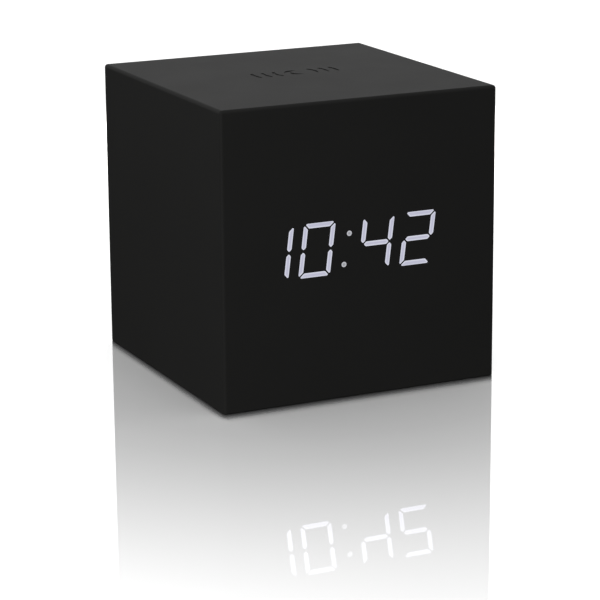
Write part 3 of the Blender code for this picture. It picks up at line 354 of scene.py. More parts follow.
def turned(name, profile, axis="Y", steps=making["roundSteps"]):
    bm = bmesh.new()
    verts = [bm.verts.new(pointAt(radius, 0, height, axis)) for radius, height in profile]
    edges = [bm.edges.new(pair) for pair in zip(verts, verts[1:])]
    bmesh.ops.spin(
        bm, geom=verts + edges, cent=(0, 0, 0), axis=pointAt(0, 0, 1, axis),
        angle=2 * math.pi, steps=steps, use_merge=True,
    )
    bmesh.ops.remove_doubles(bm, verts=bm.verts, dist=making["weld"])
    return newPiece(name, bm)


def lofted(name, rings):
    # outlines of equal count, each at its own depth along Y
    bm = bmesh.new()
    bridge(bm, [[bm.verts.new((across, depth, up)) for across, up in outline] for outline, depth in rings])
    return newPiece(name, bm)


def settle(piece):
    graph = bpy.context.evaluated_depsgraph_get()
    mesh = bpy.data.meshes.new_from_object(piece.evaluated_get(graph))
    piece.modifiers.clear()
    piece.data = mesh


def combine(piece, helpers, operation):
    for helper in helpers:
        step = piece.modifiers.new(helper.name, "BOOLEAN")
        step.operation = operation
        step.solver = "EXACT"
        step.material_mode = "TRANSFER"
        step.object = helper
    settle(piece)
    for helper in helpers:
        bpy.data.objects.remove(helper)


def carve(piece, *cutters):
    combine(piece, cutters, "DIFFERENCE")


def join(piece, *shapes):
    combine(piece, shapes, "UNION")


def dropFlaps(piece):
    # rebuilt from its triangles, without the pairs that a carve can leave lying back to back
    old = piece.data
    bm = bmesh.new()
    bm.from_mesh(old)
    bmesh.ops.remove_doubles(bm, verts=bm.verts, dist=making["weld"])
    bm.to_mesh(old)
    bm.free()
    old.calc_loop_triangles()
    sharing = {}
    for triangle in old.loop_triangles:
        sharing.setdefault(frozenset(triangle.vertices), []).append(triangle)
    single = [group[0] for group in sharing.values() if len(group) == 1]
    mesh = bpy.data.meshes.new(piece.name)
    mesh.from_pydata([vert.co for vert in old.vertices], [], [triangle.vertices for triangle in single])
    for material in old.materials:
        mesh.materials.append(material)
    mesh.polygons.foreach_set("material_index", [triangle.material_index for triangle in single])
    piece.data = mesh


def mount(piece, body, slot, *stoodFor):
    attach(piece, body)
    if stoodFor:
        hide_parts(*stoodFor)


# White table that mirrors the cube near its foot and fades to plain white, with a painted contact shadow
# round the foot
table = {
    "halfSide": 6.0,
    "white": 0.90,
    "gloss": 0.015,
    "mirrorTint": 0.90,
    "mirrorShares": (               # radius from the middle, and the mirror's share there
        (0.000, 0.575), (0.046, 0.575), (0.054, 0.581), (0.062, 0.594), (0.070, 0.598), (0.086, 0.576),
        (0.102, 0.537), (0.118, 0.493), (0.134, 0.447), (0.150, 0.400), (0.166, 0.356), (0.178, 0.322),
        (0.190, 0.275), (0.235, 0.000),
    ),
    "paintedShadowReach": (0.0029, 0.0060),  # reach of the painted contact shadow, beside the cube and in front of it
    "paintedShadowShares": (                # share of that reach, and the share of white kept there, which paints the contact shadow
        (0.000, 0.075), (0.125, 0.122), (0.208, 0.170), (0.292, 0.232), (0.375, 0.325), (0.458, 0.435),
        (0.542, 0.556), (0.625, 0.669), (0.708, 0.772), (0.792, 0.858), (0.875, 0.922), (0.958, 0.965),
        (1.000, 1.000),
    ),
}


def tableFinish(look):
    # chalk white mixed with a mirror, which fades outward, and with less white round the foot: a painted
    # contact shadow, where the cube's dark reflection shows through
    material = bpy.data.materials.new("tableWhite")
    material.use_nodes = True
    tree = material.node_tree
    tree.nodes.remove(tree.nodes["Principled BSDF"])
    place = surfacePlace(tree)
    away = addNode(tree, "VectorMath", {0: place}, operation="LENGTH").outputs["Value"]
    farthest = look["mirrorShares"][-1][0]
    mirrorShare = tones(
        tree, calculate(tree, "DIVIDE", away, farthest),
        [(radius / farthest, (share,) * 3) for radius, share in look["mirrorShares"]],
    )
    # painted contact shadow: how far each point lies from the foot, in reaches of the shadow
    apart = 0.0
    for axis, reach in zip("XY", look["paintedShadowReach"]):
        outside = calculate(tree, "SUBTRACT", distance(tree, alongAxis(tree, place, axis), 0.0), caseHalf.x)
        steps = calculate(tree, "MAXIMUM", calculate(tree, "DIVIDE", outside, reach), 0.0)
        apart = calculate(tree, "MULTIPLY_ADD", steps, steps, apart)
    shadowKeptWhite = tones(
        tree, calculate(tree, "SQRT", apart), [(part, (share,) * 3) for part, share in look["paintedShadowShares"]],
    )
    whiteShare = calculate(tree, "MULTIPLY", calculate(tree, "SUBTRACT", 1.0, mirrorShare), shadowKeptWhite)
    chalk = addNode(tree, "BsdfDiffuse", {"Color": (look["white"],) * 3 + (1,)})
    mirror = addNode(tree, "BsdfGlossy", {
        "Roughness": look["gloss"], "Color": (look["mirrorTint"],) * 3 + (1,),
    })
    mix = addNode(tree, "MixShader", {"Fac": whiteShare, 1: mirror.outputs[0], 2: chalk.outputs[0]})
    feed(tree, tree.nodes["Material Output"], {"Surface": mix.outputs[0]})
    return material


def layTable(look):
    bm = bmesh.new()
    bmesh.ops.create_grid(bm, x_segments=2, y_segments=2, size=look["halfSide"])
    top = newPiece("table", bm)
    paint(tableFinish(look), top)
    top.visible_diffuse = False     # it neither lights the cube nor shows in its faces
    top.visible_glossy = False


layTable(table)
print("table laid")


# Moulded black of the case
def mouldedFinish(name, look):
    # fine spark grain, and slow changes of tone and gloss over the moulding
    material, tree, shader, place = newFinish(name, {"Specular IOR Level": look["specular"]})
    cloud = clouds(tree, place, look["cloudSize"])
    change, middle, swing = look["cloudShare"], look["roughness"], look["roughSpread"]
    feed(tree, shader, {
        "Base Color": clouded(tree, cloud, look["colour"], change, change),
        "Roughness": spread(tree, cloud, middle - swing, middle + swing),
        "Normal": grain(tree, place, look),
    })
    return material


def mouldedLook(colour, specular, roughness, roughSpread, cloudSize, cloudShare, grainSize, grainDepth):
    return {
        "colour": colour, "specular": specular, "roughness": roughness, "roughSpread": roughSpread,
        "cloudSize": cloudSize, "cloudShare": cloudShare, "grainSize": grainSize, "grainDepth": grainDepth,
    }


caseFinish = mouldedLook((0.0096, 0.0096, 0.0093), 0.017, 0.50, 0.012, 0.016, 0.02, 0.00030, 0.000010)
# the engraving a little darker than the case, as painted shade in its recess
signShadedLook = mouldedLook((0.0082, 0.0082, 0.0080), 0.013, 0.45, 0.03, 0.004, 0.05, 0.00020, 0.000004)
softBlack = mouldedFinish("softBlack", caseFinish)
engravedShadedBlack = mouldedFinish("engravedShadedBlack", signShadedLook)

# Lit figures, as strokes of light that shine through the front wall
figures = {
    "height": 0.01402,
    "width": 0.00893,
    "stroke": 0.00125,
    "clipShare": 0.66,
    "gap": 0.00038,
    "cornerEase": 0.00022,
    "slant": math.radians(7.2),
    "colonShift": -0.003935,        # from the middle of the display
    "colonSlant": math.radians(10.9),
    "unitsShift": (0.00851, 0.00831),   # from the colon to the figures beside it
    "hourPitch": 0.01170,
    "minutePitch": 0.01196,
    "dotRise": 0.0033,
    "dotDrop": 0.0047,
    "dotRadius": 0.00070,
    "recess": 0.00006,
    "set": 0.00001,                 # the lit face stands this far behind the front face
    "rimWidths": (0.00016, 0.00044),
}
shownStrokes = {
    "hourTens": ("upperRight", "lowerRight"),
    "hourUnits": ("top", "upperLeft", "upperRight", "lowerLeft", "lowerRight", "bottom"),
    "minuteTens": ("middle", "upperLeft", "upperRight", "lowerRight"),
    "minuteUnits": ("top", "upperRight", "middle", "lowerLeft", "bottom"),
}
displayMiddle = spanOf("display_film")[0]
colonPlace = displayMiddle.x + figures["colonShift"]
hourSide, minuteSide = figures["unitsShift"]
figurePlaces = {
    "hourTens": colonPlace - hourSide - figures["hourPitch"],
    "hourUnits": colonPlace - hourSide,
    "minuteTens": colonPlace + minuteSide,
    "minuteUnits": colonPlace + minuteSide + figures["minutePitch"],
}


def strokeOutlines(names, centre, look):
    halfWidth, halfHeight = look["width"] / 2, look["height"] / 2
    stroke, clip = look["stroke"], look["stroke"] * look["clipShare"]
    ease = look["gap"] / math.sqrt(2)
    level = [
        (halfWidth - clip, halfHeight),
        (halfWidth - (clip + ease) / 2, halfHeight - (clip - ease) / 2),
        (halfWidth - stroke - ease, halfHeight - stroke),
    ]
    upright = [
        (halfWidth, halfHeight - clip),
        (halfWidth - (clip - ease) / 2, halfHeight - (clip + ease) / 2),
        (halfWidth - stroke, halfHeight - stroke - ease),
        (halfWidth - stroke, ease + stroke / 2),
        (halfWidth - stroke / 2, ease),
        (halfWidth, ease + stroke / 2),
    ]
    middle = [
        (halfWidth - stroke - ease, stroke / 2),
        (halfWidth - stroke / 2 - ease, 0),
        (halfWidth - stroke - ease, -stroke / 2),
    ]
    shapes = {
        "top": level + [(-x, z) for x, z in reversed(level)],
        "middle": middle + [(-x, -z) for x, z in middle],
        "upperRight": upright,
        "upperLeft": [(-x, z) for x, z in reversed(upright)],
        "lowerRight": [(x, -z) for x, z in reversed(upright)],
        "lowerLeft": [(-x, -z) for x, z in upright],
    }
    shapes["bottom"] = [(x, -z) for x, z in reversed(shapes["top"])]
    tilt = math.tan(look["slant"])
    slanted = [[(centre + x + z * tilt, displayMiddle.z + z) for x, z in shapes[name]] for name in names]
    return [easeCorners(outline, look["cornerEase"]) for outline in slanted]


def colonOutlines(look):
    tilt = math.tan(look["colonSlant"])
    return [
        circle(colonPlace + rise * tilt, displayMiddle.z + rise, look["dotRadius"], making["dotSteps"])
        for rise in (look["dotRise"], -look["dotDrop"])
    ]


def litPiece(name, outlines, look):
    # a thin plate for each stroke, its rim marked for the light's brighter edge
    front = -caseHalf.y + look["set"]
    back = -caseHalf.y + look["recess"] - look["set"]
    rimEnd, heartStart = look["rimWidths"]
    bm = bmesh.new()
    rim = bm.verts.layers.float.new("rim")
    for outline in outlines:
        outer = insetOutline(outline, look["set"])
        rings = []
        for points, y, share in (
            (outer, back, 1.0),
            (outer, front, 1.0),
            (insetOutline(outer, rimEnd), front, 1.0),
            (insetOutline(outer, heartStart), front, 0.0),
        ):
            ring = [bm.verts.new((x, y, z)) for x, z in points]
            for vert in ring:
                vert[rim] = share
            rings.append(ring)
        bridge(bm, rings)
    return newPiece(name, bm)


glow = {
    "strokes": {"rim": (0.640, 0.650, 0.750), "heart": (0.480, 0.480, 0.600)},
    "dots": {"rim": (0.490, 0.495, 0.530), "heart": (0.290, 0.295, 0.320)},
    "strength": 1.0,
    "cloudSize": 0.0006,
    "cloudSwing": 0.12,
    "resin": {"Base Color": (0.02, 0.02, 0.02, 1), "Specular IOR Level": 0.02, "Roughness": 0.5},
}


def glowFinish(name, kind, look):
    # light that has come through black resin: brighter round each stroke's edge, faintly cloudy inside
    material, tree, shader, place = newFinish(name, look["resin"])
    rim = addNode(tree, "Attribute", {}, attribute_name="rim").outputs["Fac"]
    cloud = spread(tree, speckle(tree, place, look["cloudSize"]), -look["cloudSwing"], look["cloudSwing"])
    stops = ((0.0, look[kind]["heart"]), (1.0, look[kind]["rim"]))
    feed(tree, shader, {
        "Emission Strength": look["strength"],
        "Emission Color": tones(tree, calculate(tree, "ADD", rim, cloud), stops),
    })
    return material


strokeGlow = glowFinish("strokeGlow", "strokes", glow)
dotGlow = glowFinish("dotGlow", "dots", glow)

litOutlines = {
    name: strokeOutlines(strokes, figurePlaces[name], figures) for name, strokes in shownStrokes.items()
}
litOutlines["colon"] = colonOutlines(figures)
for name, outlines in litOutlines.items():
    piece = litPiece("lit" + name[0].upper() + name[1:], outlines, figures)
    paint(dotGlow if name == "colon" else strokeGlow, piece)
    mount(piece, "clock_case", "film_white")
print("figures lit")

# Engraved sign over the touch plate: a crescent moon with arcs spreading to both sides
sign = {
    "depth": 0.00017,
    "moonRadius": 0.0029,
    "biteRadius": 0.0025,
    "biteShift": 0.0014,
    "arcRadii": (0.0058, 0.0088, 0.0118),
    "arcHalfHeight": 0.0029,
    "arcHalfWidth": 0.00040,
}


def crescent(across, up, look):
    big, small, shift = look["moonRadius"], look["biteRadius"], look["biteShift"]
    meet = math.acos((big ** 2 + shift ** 2 - small ** 2) / (2 * big * shift))
    inner = math.atan2(big * math.sin(meet), big * math.cos(meet) - shift)
    steps = making["roundSteps"]
    outside = arc(across, up, big, meet, 2 * math.pi - 2 * meet, steps)
    return outside + arc(across + shift, up, small, -inner, 2 * inner - 2 * math.pi, steps, 1)


def arcStroke(across, up, radius, side, look):
    reach = math.asin(look["arcHalfHeight"] / radius)
    facing = 0 if side > 0 else math.pi
    steps, halfWidth = making["cornerSteps"], look["arcHalfWidth"]
    outline = []
    for turn in (1, -1):
        outline += arc(across, up, radius + turn * halfWidth, facing - turn * reach, 2 * turn * reach, steps)
        end = facing + turn * reach
        heart = (across + radius * math.cos(end), up + radius * math.sin(end))
        outline += arc(*heart, halfWidth, end + (0 if turn > 0 else math.pi), turn * math.pi, steps, 1)
    return outline


def signOutlines(look):
    middle = spanOf("touch_plate")[0]
    arcs = [
        arcStroke(middle.x, middle.y, radius, side, look) for side in (-1, 1) for radius in look["arcRadii"]
    ]
    return [crescent(middle.x, middle.y, look)] + arcs


# Case: one hollow moulding, open behind
case = {
    "wall": 0.0024,
    "edgeRadius": 0.0009,
    "footRadius": 0.00035,              # round the table side
    "innerRadius": 0.0010,
    "windowWall": 0.0010,
    "windowRadius": 0.0009,
    "fit": 0.0003,
    "coverThickness": 0.0024,
    "mouthRadius": 0.0013,
    "mouthEase": 0.00030,
    "pillarRadius": 0.0026,
    "pillarWeb": 0.0012,
    "postRadius": 0.0022,
    "pillarBore": 0.0014,
    "postBore": 0.0012,
    "stakeOffset": 0.0105,
    "stakeRadius": 0.0010,
    "stakeHeadRadius": 0.0018,
    "stakeHeadHeight": 0.0007,
    "sink": 0.0005,                     # how far a rib stands in the wall that carries it
}
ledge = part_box("back_cover")[1].y - case["coverThickness"] - case["fit"]


def screwPlaces(nodeName, count):
    middles = [spanOf(f"{nodeName}_{number}")[0] for number in range(1, count + 1)]
    return [(middle.x, middle.z) for middle in middles]


def circlesAt(places, radius, steps):
    return [circle(x, z, radius, steps) for x, z in places]


def touchStakes(look):
    middle, half = spanOf("touch_plate")
    root = caseSide - look["wall"] + look["sink"]
    shoulder = middle.z - half.z - look["fit"]
    end = shoulder - look["stakeHeadHeight"]
    radius, headRadius = look["stakeRadius"], look["stakeHeadRadius"]
    stakes = []
    for side in (-1, 1):
        stake = turned("stake", [
            (0, root), (radius, root), (radius, shoulder), (headRadius, shoulder),
            (headRadius, end + look["stakeHeadHeight"] / 2), (radius, end), (0, end),
        ], "Z", making["boreSteps"])
        stake.data.transform(Matrix.Translation((middle.x + side * look["stakeOffset"], middle.y, 0)))
        stakes.append(stake)
    return stakes


def caseInside(skin, look):
    # pillars for the cover's screws, posts for the display and stakes for the touch plate
    half, middle = caseHalf.x, caseMiddle.z
    over, steps = making["overrun"], making["boreSteps"]
    root = look["wall"] - half - look["sink"]
    pillars, posts = screwPlaces("cover_screw", 4), screwPlaces("display_screw", 4)
    sideWebs, floorWebs = [], []
    for x, z in pillars:
        side = math.copysign(half - look["wall"] / 2, x)
        edge = middle + math.copysign(half - look["wall"] / 2, z - middle)
        sideWebs.append(rectangle((x + side) / 2, z, abs(side - x) / 2, look["pillarWeb"] / 2))
        floorWebs.append(rectangle(x, (z + edge) / 2, look["pillarWeb"] / 2, abs(edge - z) / 2))
    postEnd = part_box("display_reflector")[1].y    # its back lies on the same board as the posts
    join(
        skin,
        prism("pillars", circlesAt(pillars, look["pillarRadius"], making["roundSteps"]), root, ledge),
        prism("sideWebs", sideWebs, root, ledge),
        prism("floorWebs", floorWebs, root, ledge),
        prism("posts", circlesAt(posts, look["postRadius"], steps), root, postEnd),
        *touchStakes(look),
    )
    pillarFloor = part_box("cover_screw_1")[0].y - 2 * look["fit"]
    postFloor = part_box("display_screw_1")[0].y - look["fit"]
    carve(
        skin,
        prism("pillarPilots", circlesAt(pillars, look["pillarBore"], steps), pillarFloor, ledge + over),
        prism("postPilots", circlesAt(posts, look["postBore"], steps), postFloor, postEnd + over),
    )


def roundedCube(look):
    bm = bmesh.new()
    bmesh.ops.create_cube(bm, size=caseSide)
    bmesh.ops.translate(bm, vec=(0, 0, caseMiddle.z), verts=bm.verts)
    weight = bm.edges.layers.float.new("bevel_weight_edge")
    for edge in bm.edges:
        standing = max(vert.co.z for vert in edge.verts) > caseMiddle.z
        edge[weight] = 1.0 if standing else look["footRadius"] / look["edgeRadius"]
    skin = newPiece("caseSkin", bm)
    rounds = skin.modifiers.new("edgeRounds", "BEVEL")
    rounds.limit_method = "WEIGHT"
    rounds.width = look["edgeRadius"]
    rounds.segments = making["edgeSteps"]
    settle(skin)
    paint(softBlack, skin)
    return skin


def caseSkin(look):
    skin = roundedCube(look)
    half, middle = caseHalf.x, caseMiddle.z
    over, ease = making["overrun"], look["mouthEase"]
    cavityHalf = half - look["wall"]
    mouthHalf = spanOf("back_cover")[1].x + look["fit"]
    cavity = rectangle(0, middle, cavityHalf, cavityHalf, look["innerRadius"])
    rim = arc(ease, -ease, ease, math.pi, -math.pi / 2, making["cornerSteps"])
    mouthRings = []
    for flare, depth in [(0, ledge - half), *rim, (ease, over)]:
        reach = mouthHalf + flare
        mouthRings.append((rectangle(0, middle, reach, reach, look["mouthRadius"] + flare), half + depth))
    boxMiddle, boxHalf = spanOf("display_reflector")
    window = rectangle(
        boxMiddle.x, boxMiddle.z, boxHalf.x + look["fit"], boxHalf.z + look["fit"], look["windowRadius"],
    )
    carve(
        skin,
        prism("cavityCutter", [cavity], -cavityHalf, half + over),
        lofted("mouthCutter", mouthRings),
        prism("windowCutter", [window], -half + look["windowWall"], over - cavityHalf),
    )
    caseInside(skin, look)
    signCutter = prism("signCutter", signOutlines(sign), caseSide - sign["depth"], caseSide + over, "Z")
    # the engraved floor and walls take the darker black of painted shade
    paint(engravedShadedBlack, signCutter)
    strokes = [outline for outlines in litOutlines.values() for outline in outlines]
    carve(skin, signCutter, prism("strokeCutter", strokes, -half - over, -half + figures["recess"]))
    shadeSoft(skin)
    mount(skin, "clock_case", "case_black", "case_shell")


caseSkin(case)
print("case moulded")

# Finishes of the other parts
metals = {
    "nickel": {"colour": (0.62, 0.60, 0.55), "roughness": 0.26, "streak": 0.10},
    "springWire": {"colour": (0.58, 0.58, 0.57), "roughness": 0.22, "streak": 0.06},
    "zincBlack": {"colour": (0.075, 0.075, 0.080), "roughness": 0.36, "streak": 0.12},
    "tin": {"colour": (0.66, 0.67, 0.68), "roughness": 0.34, "streak": 0.10},
    "gold": {"colour": (0.83, 0.62, 0.26), "roughness": 0.24, "streak": 0.06},
    "can": {"colour": (0.70, 0.71, 0.72), "roughness": 0.30, "streak": 0.08},
}
drawing = {
    "stretch": (0.08, 1, 1),
    "streakSize": 0.00012,
    "streakDetail": 4,
    "cloudSize": 0.0030,
    "depth": 0.000004,
}


def metalFinish(name, look, drawn):
    # drawn or plated metal: fine streaks one way, with slow changes of shine
    material, tree, shader, place = newFinish(name, {"Metallic": 1.0})
    along = addNode(tree, "Mapping", {"Vector": place, "Scale": drawn["stretch"]}).outputs[0]
    streaks = speckle(tree, along, drawn["streakSize"], drawn["streakDetail"])
    middle, swing = look["roughness"], look["streak"]
    feed(tree, shader, {
        "Base Color": clouded(tree, clouds(tree, place, drawn["cloudSize"]), look["colour"], swing),
        "Roughness": spread(tree, streaks, middle - swing, middle + swing),
        "Normal": relief(tree, streaks, drawn["depth"]),
    })
    return material


metalFinishes = {name: metalFinish(name, look, drawing) for name, look in metals.items()}

plastics = {
    "coverBlack": mouldedLook((0.0125, 0.0125, 0.0125), 0.14, 0.47, 0.015, 0.012, 0.03, 0.00022, 0.000022),
    "doorBlack": mouldedLook((0.0118, 0.0118, 0.0118), 0.15, 0.46, 0.015, 0.012, 0.03, 0.00022, 0.000022),
    "keyRubber": mouldedLook((0.0190, 0.0190, 0.0195), 0.22, 0.55, 0.04, 0.002, 0.08, 0.00010, 0.000006),
    "markInk": mouldedLook((0.50, 0.50, 0.51), 0.30, 0.60, 0.05, 0.0006, 0.06, 0.00006, 0.000003),
    "filmWhite": mouldedLook((0.72, 0.73, 0.76), 0.35, 0.38, 0.04, 0.006, 0.02, 0.00008, 0.000003),
    "lightBoxWhite": mouldedLook((0.80, 0.80, 0.78), 0.50, 0.30, 0.06, 0.008, 0.02, 0.00040, 0.000003),
    "connectorCream": mouldedLook((0.74, 0.70, 0.60), 0.45, 0.42, 0.05, 0.004, 0.04, 0.00015, 0.000005),
    "partBlack": mouldedLook((0.020, 0.020, 0.022), 0.35, 0.50, 0.06, 0.003, 0.10, 0.00012, 0.000008),
    "sleeveRed": mouldedLook((0.42, 0.016, 0.014), 0.45, 0.40, 0.05, 0.002, 0.08, 0.00030, 0.000008),
    "sleeveBlack": mouldedLook((0.018, 0.018, 0.019), 0.45, 0.40, 0.05, 0.002, 0.08, 0.00030, 0.000008),
}
plasticFinishes = {name: mouldedFinish(name, look) for name, look in plastics.items()}

zones = {
    "body": plastics["partBlack"],
    "ends": metals["tin"],
    "specular": 0.4,
    "cloudSize": 0.0015,
    "darker": 0.15,
    "roughSpread": 0.05,
    "grainSize": 0.00010,
    "grainDepth": 0.000006,
}


def zonedFinish(node, share, look):
    # a black body whose legs, beyond a share of the half height from the middle, are tinned
    middle, half = spanOf(node)
    body, ends = look["body"], look["ends"]
    material, tree, shader, place = newFinish(node + "Finish", {"Specular IOR Level": look["specular"]})
    mask = beyond(tree, distance(tree, alongAxis(tree, place, "Z"), middle.z), half.z * share)
    cloud = clouds(tree, place, look["cloudSize"])
    bodyTone = clouded(tree, cloud, body["colour"], look["darker"])
    low, high = body["roughness"] - look["roughSpread"], body["roughness"] + look["roughSpread"]
    feed(tree, shader, {
        "Base Color": blend(tree, mask, bodyTone, ends["colour"], "RGBA"),
        "Metallic": blend(tree, mask, 0.0, 1.0),
        "Roughness": blend(tree, mask, spread(tree, cloud, low, high), ends["roughness"]),
        "Normal": grain(tree, place, look),
    })
    return material


boardLook = {
    "mask": (0.012, 0.105, 0.045),
    "trace": (0.030, 0.190, 0.080),
    "edge": (0.46, 0.40, 0.22),
    "tin": (0.50, 0.51, 0.48),
    # painted shade inside each via's hole
    "hole": (0.020, 0.022, 0.020),
    "specular": 0.5,
    "blockSize": (0.0064, 0.0032),      # each block draws one kind of copper
    "planeShare": 0.26,                 # blocks filled with copper
    "levelShare": 0.68,                 # up to here level runs, and upright ones in the rest
    "pitch": 0.0008,
    "runShare": 0.45,
    "viaPitch": 0.0034,
    "viaScatter": 0.8,
    "viaRadii": (0.00016, 0.00036),     # hole and tinned ring
    "traceHeight": 0.000030,
    "cloudSize": 0.0008,
    "roughness": (0.30, 0.42),
    "sawnRoughness": 0.8,
    "flatFrom": (0.5, 0.05),            # the normal's share along Y from which a face is flat, and its blur
}


def stripes(tree, value, pitch, share):
    # 1 on each run and 0 between them
    phase = calculate(tree, "FRACT", calculate(tree, "DIVIDE", value, pitch))
    return calculate(tree, "LESS_THAN", phase, share)


def flatVector(tree, across, up):
    return addNode(tree, "CombineXYZ", {"X": across, "Y": up}).outputs[0]


def boardFinish(name, look):
    # green lacquer over copper runs and tinned holes, dark spots of painted shade in the holes, and bare
    # laminate at the sawn edges
    material, tree, shader, place = newFinish(name, {"Specular IOR Level": look["specular"]})
    across, up = alongAxis(tree, place, "X"), alongAxis(tree, place, "Z")
    column, row = (
        calculate(tree, "FLOOR", calculate(tree, "DIVIDE", value, size))
        for value, size in zip((across, up), look["blockSize"])
    )
    drawn = addNode(
        tree, "TexWhiteNoise", {"Vector": flatVector(tree, column, row)}, noise_dimensions="2D",
    ).outputs["Value"]
    level, upright = (stripes(tree, value, look["pitch"], look["runShare"]) for value in (up, across))
    turnedRuns = calculate(tree, "GREATER_THAN", drawn, look["levelShare"])
    plane = calculate(tree, "LESS_THAN", drawn, look["planeShare"])
    copper = calculate(tree, "MAXIMUM", plane, blend(tree, turnedRuns, level, upright))
    green = blend(tree, copper, look["mask"], look["trace"], "RGBA")
    vias = addNode(tree, "TexVoronoi", {}, voronoi_dimensions="2D")
    feed(tree, vias, {
        "Vector": flatVector(tree, across, up),
        "Scale": 1 / look["viaPitch"],
        "Randomness": look["viaScatter"],
    })
    # each via: a tinned ring, and inside it a dark spot of painted shade for the hole
    for radius, tone in zip(reversed(look["viaRadii"]), (look["tin"], look["hole"])):
        spot = calculate(tree, "LESS_THAN", vias.outputs["Distance"], radius / look["viaPitch"])
        green = blend(tree, spot, green, tone, "RGBA")
    normal = tree.nodes.new("ShaderNodeNewGeometry").outputs["Normal"]
    flat = beyond(tree, distance(tree, alongAxis(tree, normal, "Y"), 0.0), *look["flatFrom"])
    rough = spread(tree, clouds(tree, place, look["cloudSize"]), *look["roughness"])
    feed(tree, shader, {
        "Base Color": blend(tree, flat, look["edge"], green, "RGBA"),
        "Roughness": blend(tree, flat, look["sawnRoughness"], rough),
        "Normal": relief(tree, copper, look["traceHeight"]),
    })
    return material


ribbonLook = {
    "colour": (0.40, 0.41, 0.43),
    "grooveShade": (0.26, 0.27, 0.29),
    "marked": (0.34, 0.020, 0.018),
    "specular": 0.4,
    "pitch": 0.00125,
    "grooveShadeShares": (0.05, 0.5),        # of a ridge's height, where the painted shade of the groove ends
    "cloudSize": 0.0010,
    "roughness": (0.40, 0.53),
    "ridgeHeight": 0.00012,
}


def ribbonFinish(name, look):
    # eight cores side by side under one grey skin, the first of them marked red, with painted shade darker in
    # the grooves between them
    material, tree, shader, place = newFinish(name, {"Specular IOR Level": look["specular"]})
    across = alongAxis(tree, place, "X")
    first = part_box("ribbon_cable")[0].x
    turn = calculate(tree, "MULTIPLY", calculate(tree, "SUBTRACT", across, first), math.pi / look["pitch"])
    ridge = distance(tree, calculate(tree, "SINE", turn), 0.0)
    # painted shade: a darker grey down each groove between the cores
    grey = tones(tree, ridge, tuple(zip(look["grooveShadeShares"], (look["grooveShade"], look["colour"]))))
    plain = beyond(tree, across, first + look["pitch"])
    feed(tree, shader, {
        "Base Color": blend(tree, plain, look["marked"], grey, "RGBA"),
        "Roughness": spread(tree, clouds(tree, place, look["cloudSize"]), *look["roughness"]),
        "Normal": relief(tree, ridge, look["ridgeHeight"]),
    })
    return material


# The body's share of the height, in the parts whose legs are tinned
bodyShares = {"display_driver_chip": 0.735, "clock_chip": 0.735, "supply_regulator": 0.54}
# Each finish, with the CAD nodes that show it
nodeFinishes = (
    (plasticFinishes["coverBlack"], ("back_cover",)),
    (plasticFinishes["doorBlack"], ("battery_door",)),
    (plasticFinishes["filmWhite"], ("display_film",)),
    (plasticFinishes["lightBoxWhite"], ("display_reflector",)),
    (boardFinish("boardGreen", boardLook), ("display_board", "control_board")),
    *((zonedFinish(node, share, zones), (node,)) for node, share in bodyShares.items()),
    (plasticFinishes["connectorCream"], ("display_connector", "control_connector")),
    (ribbonFinish("ribbonGrey", ribbonLook), ("ribbon_cable",)),
    (plasticFinishes["partBlack"], (
        "down_plunger", "set_plunger", "up_plunger", "alarm_buzzer", "supply_capacitor",
    )),
    (metalFinishes["can"], ("down_switch", "set_switch", "up_switch", "microphone", "clock_crystal")),
    (metalFinishes["nickel"], (
        "positive_contact", "negative_contact", "lower_link_contact", "upper_link_contact", "touch_plate",
    )),
    (plasticFinishes["sleeveRed"], ("positive_wire",)),
    (plasticFinishes["sleeveBlack"], ("negative_wire", "touch_wire")),
)
for finish, names in nodeFinishes:
    for name in names:
        for place in nodes[name].material_slots:
            place.material = finish
print("CAD nodes finished:", sum(len(names) for finish, names in nodeFinishes))

# Cover and door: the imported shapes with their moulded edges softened
moulded = {
    "weld": 1e-6,
    "flat": math.radians(0.6),      # faces this close to one plane are one face
    "sharp": math.radians(40),
    "ease": 0.00013,
    "steps": 2,
    "profile": 0.5,                 # a round one
}


def softened(node, name, finish, body, look):
    bm = bmesh.new()
    bm.from_mesh(nodes[node].data)
    bmesh.ops.remove_doubles(bm, verts=bm.verts, dist=look["weld"])
    bmesh.ops.dissolve_limit(bm, angle_limit=look["flat"], verts=bm.verts, edges=bm.edges)
    sharp = [edge for edge in bm.edges if edge.is_manifold and edge.calc_face_angle() > look["sharp"]]
    bmesh.ops.bevel(
        bm, geom=sharp, offset=look["ease"], segments=look["steps"], profile=look["profile"],
        affect="EDGES", clamp_overlap=False,
    )
    piece = newPiece(name, bm)
    paint(finish, piece)
    shadeSoft(piece)
    mount(piece, body, "cover_black", node)


softened("back_cover", "coverSkin", plasticFinishes["coverBlack"], "clock_case", moulded)
softened("battery_door", "doorSkin", plasticFinishes["doorBlack"], "battery_door", moulded)
print("cover and door softened")

# Keys: rubber caps with a filled mark each
keyCap = {
    "radius": 0.0032,
    "flangeRadius": 0.0038,
    "flangeThickness": 0.0008,
    "edge": 0.0003,
    "dome": 0.00025,
    "domeSteps": 6,
    "markDepth": 0.0002025,         # from the top of the dome
    "markSize": 0.00115,
    "markShares": (0.9, 0.6),       # of that size, the arrow's half width and its foot below the middle
    "markEase": 0.0002,
    "dotRadius": 0.00075,
}


def roundedTop(top, look):
    # the cap's rounded shoulder and its low dome, from the side to the axis
    steps, flat = look["domeSteps"], look["radius"] - look["edge"]
    points = arc(flat, top - look["dome"] - look["edge"], look["edge"], 0, math.pi / 2, steps)
    for step in range(1, steps + 1):
        share = 1 - step / steps
        points.append((flat * share, top - look["dome"] * share ** 2))
    return points


def keyMark(name, middle, look):
    if name == "set":
        return circle(middle.x, middle.z, look["dotRadius"], making["dotSteps"])
    rise = 1 if name == "up" else -1
    half, foot = (look["markSize"] * share for share in look["markShares"])
    corners = [(0, look["markSize"]), (-half, -foot), (half, -foot)]
    return easeCorners([(middle.x + x, middle.z + rise * z) for x, z in corners], look["markEase"])


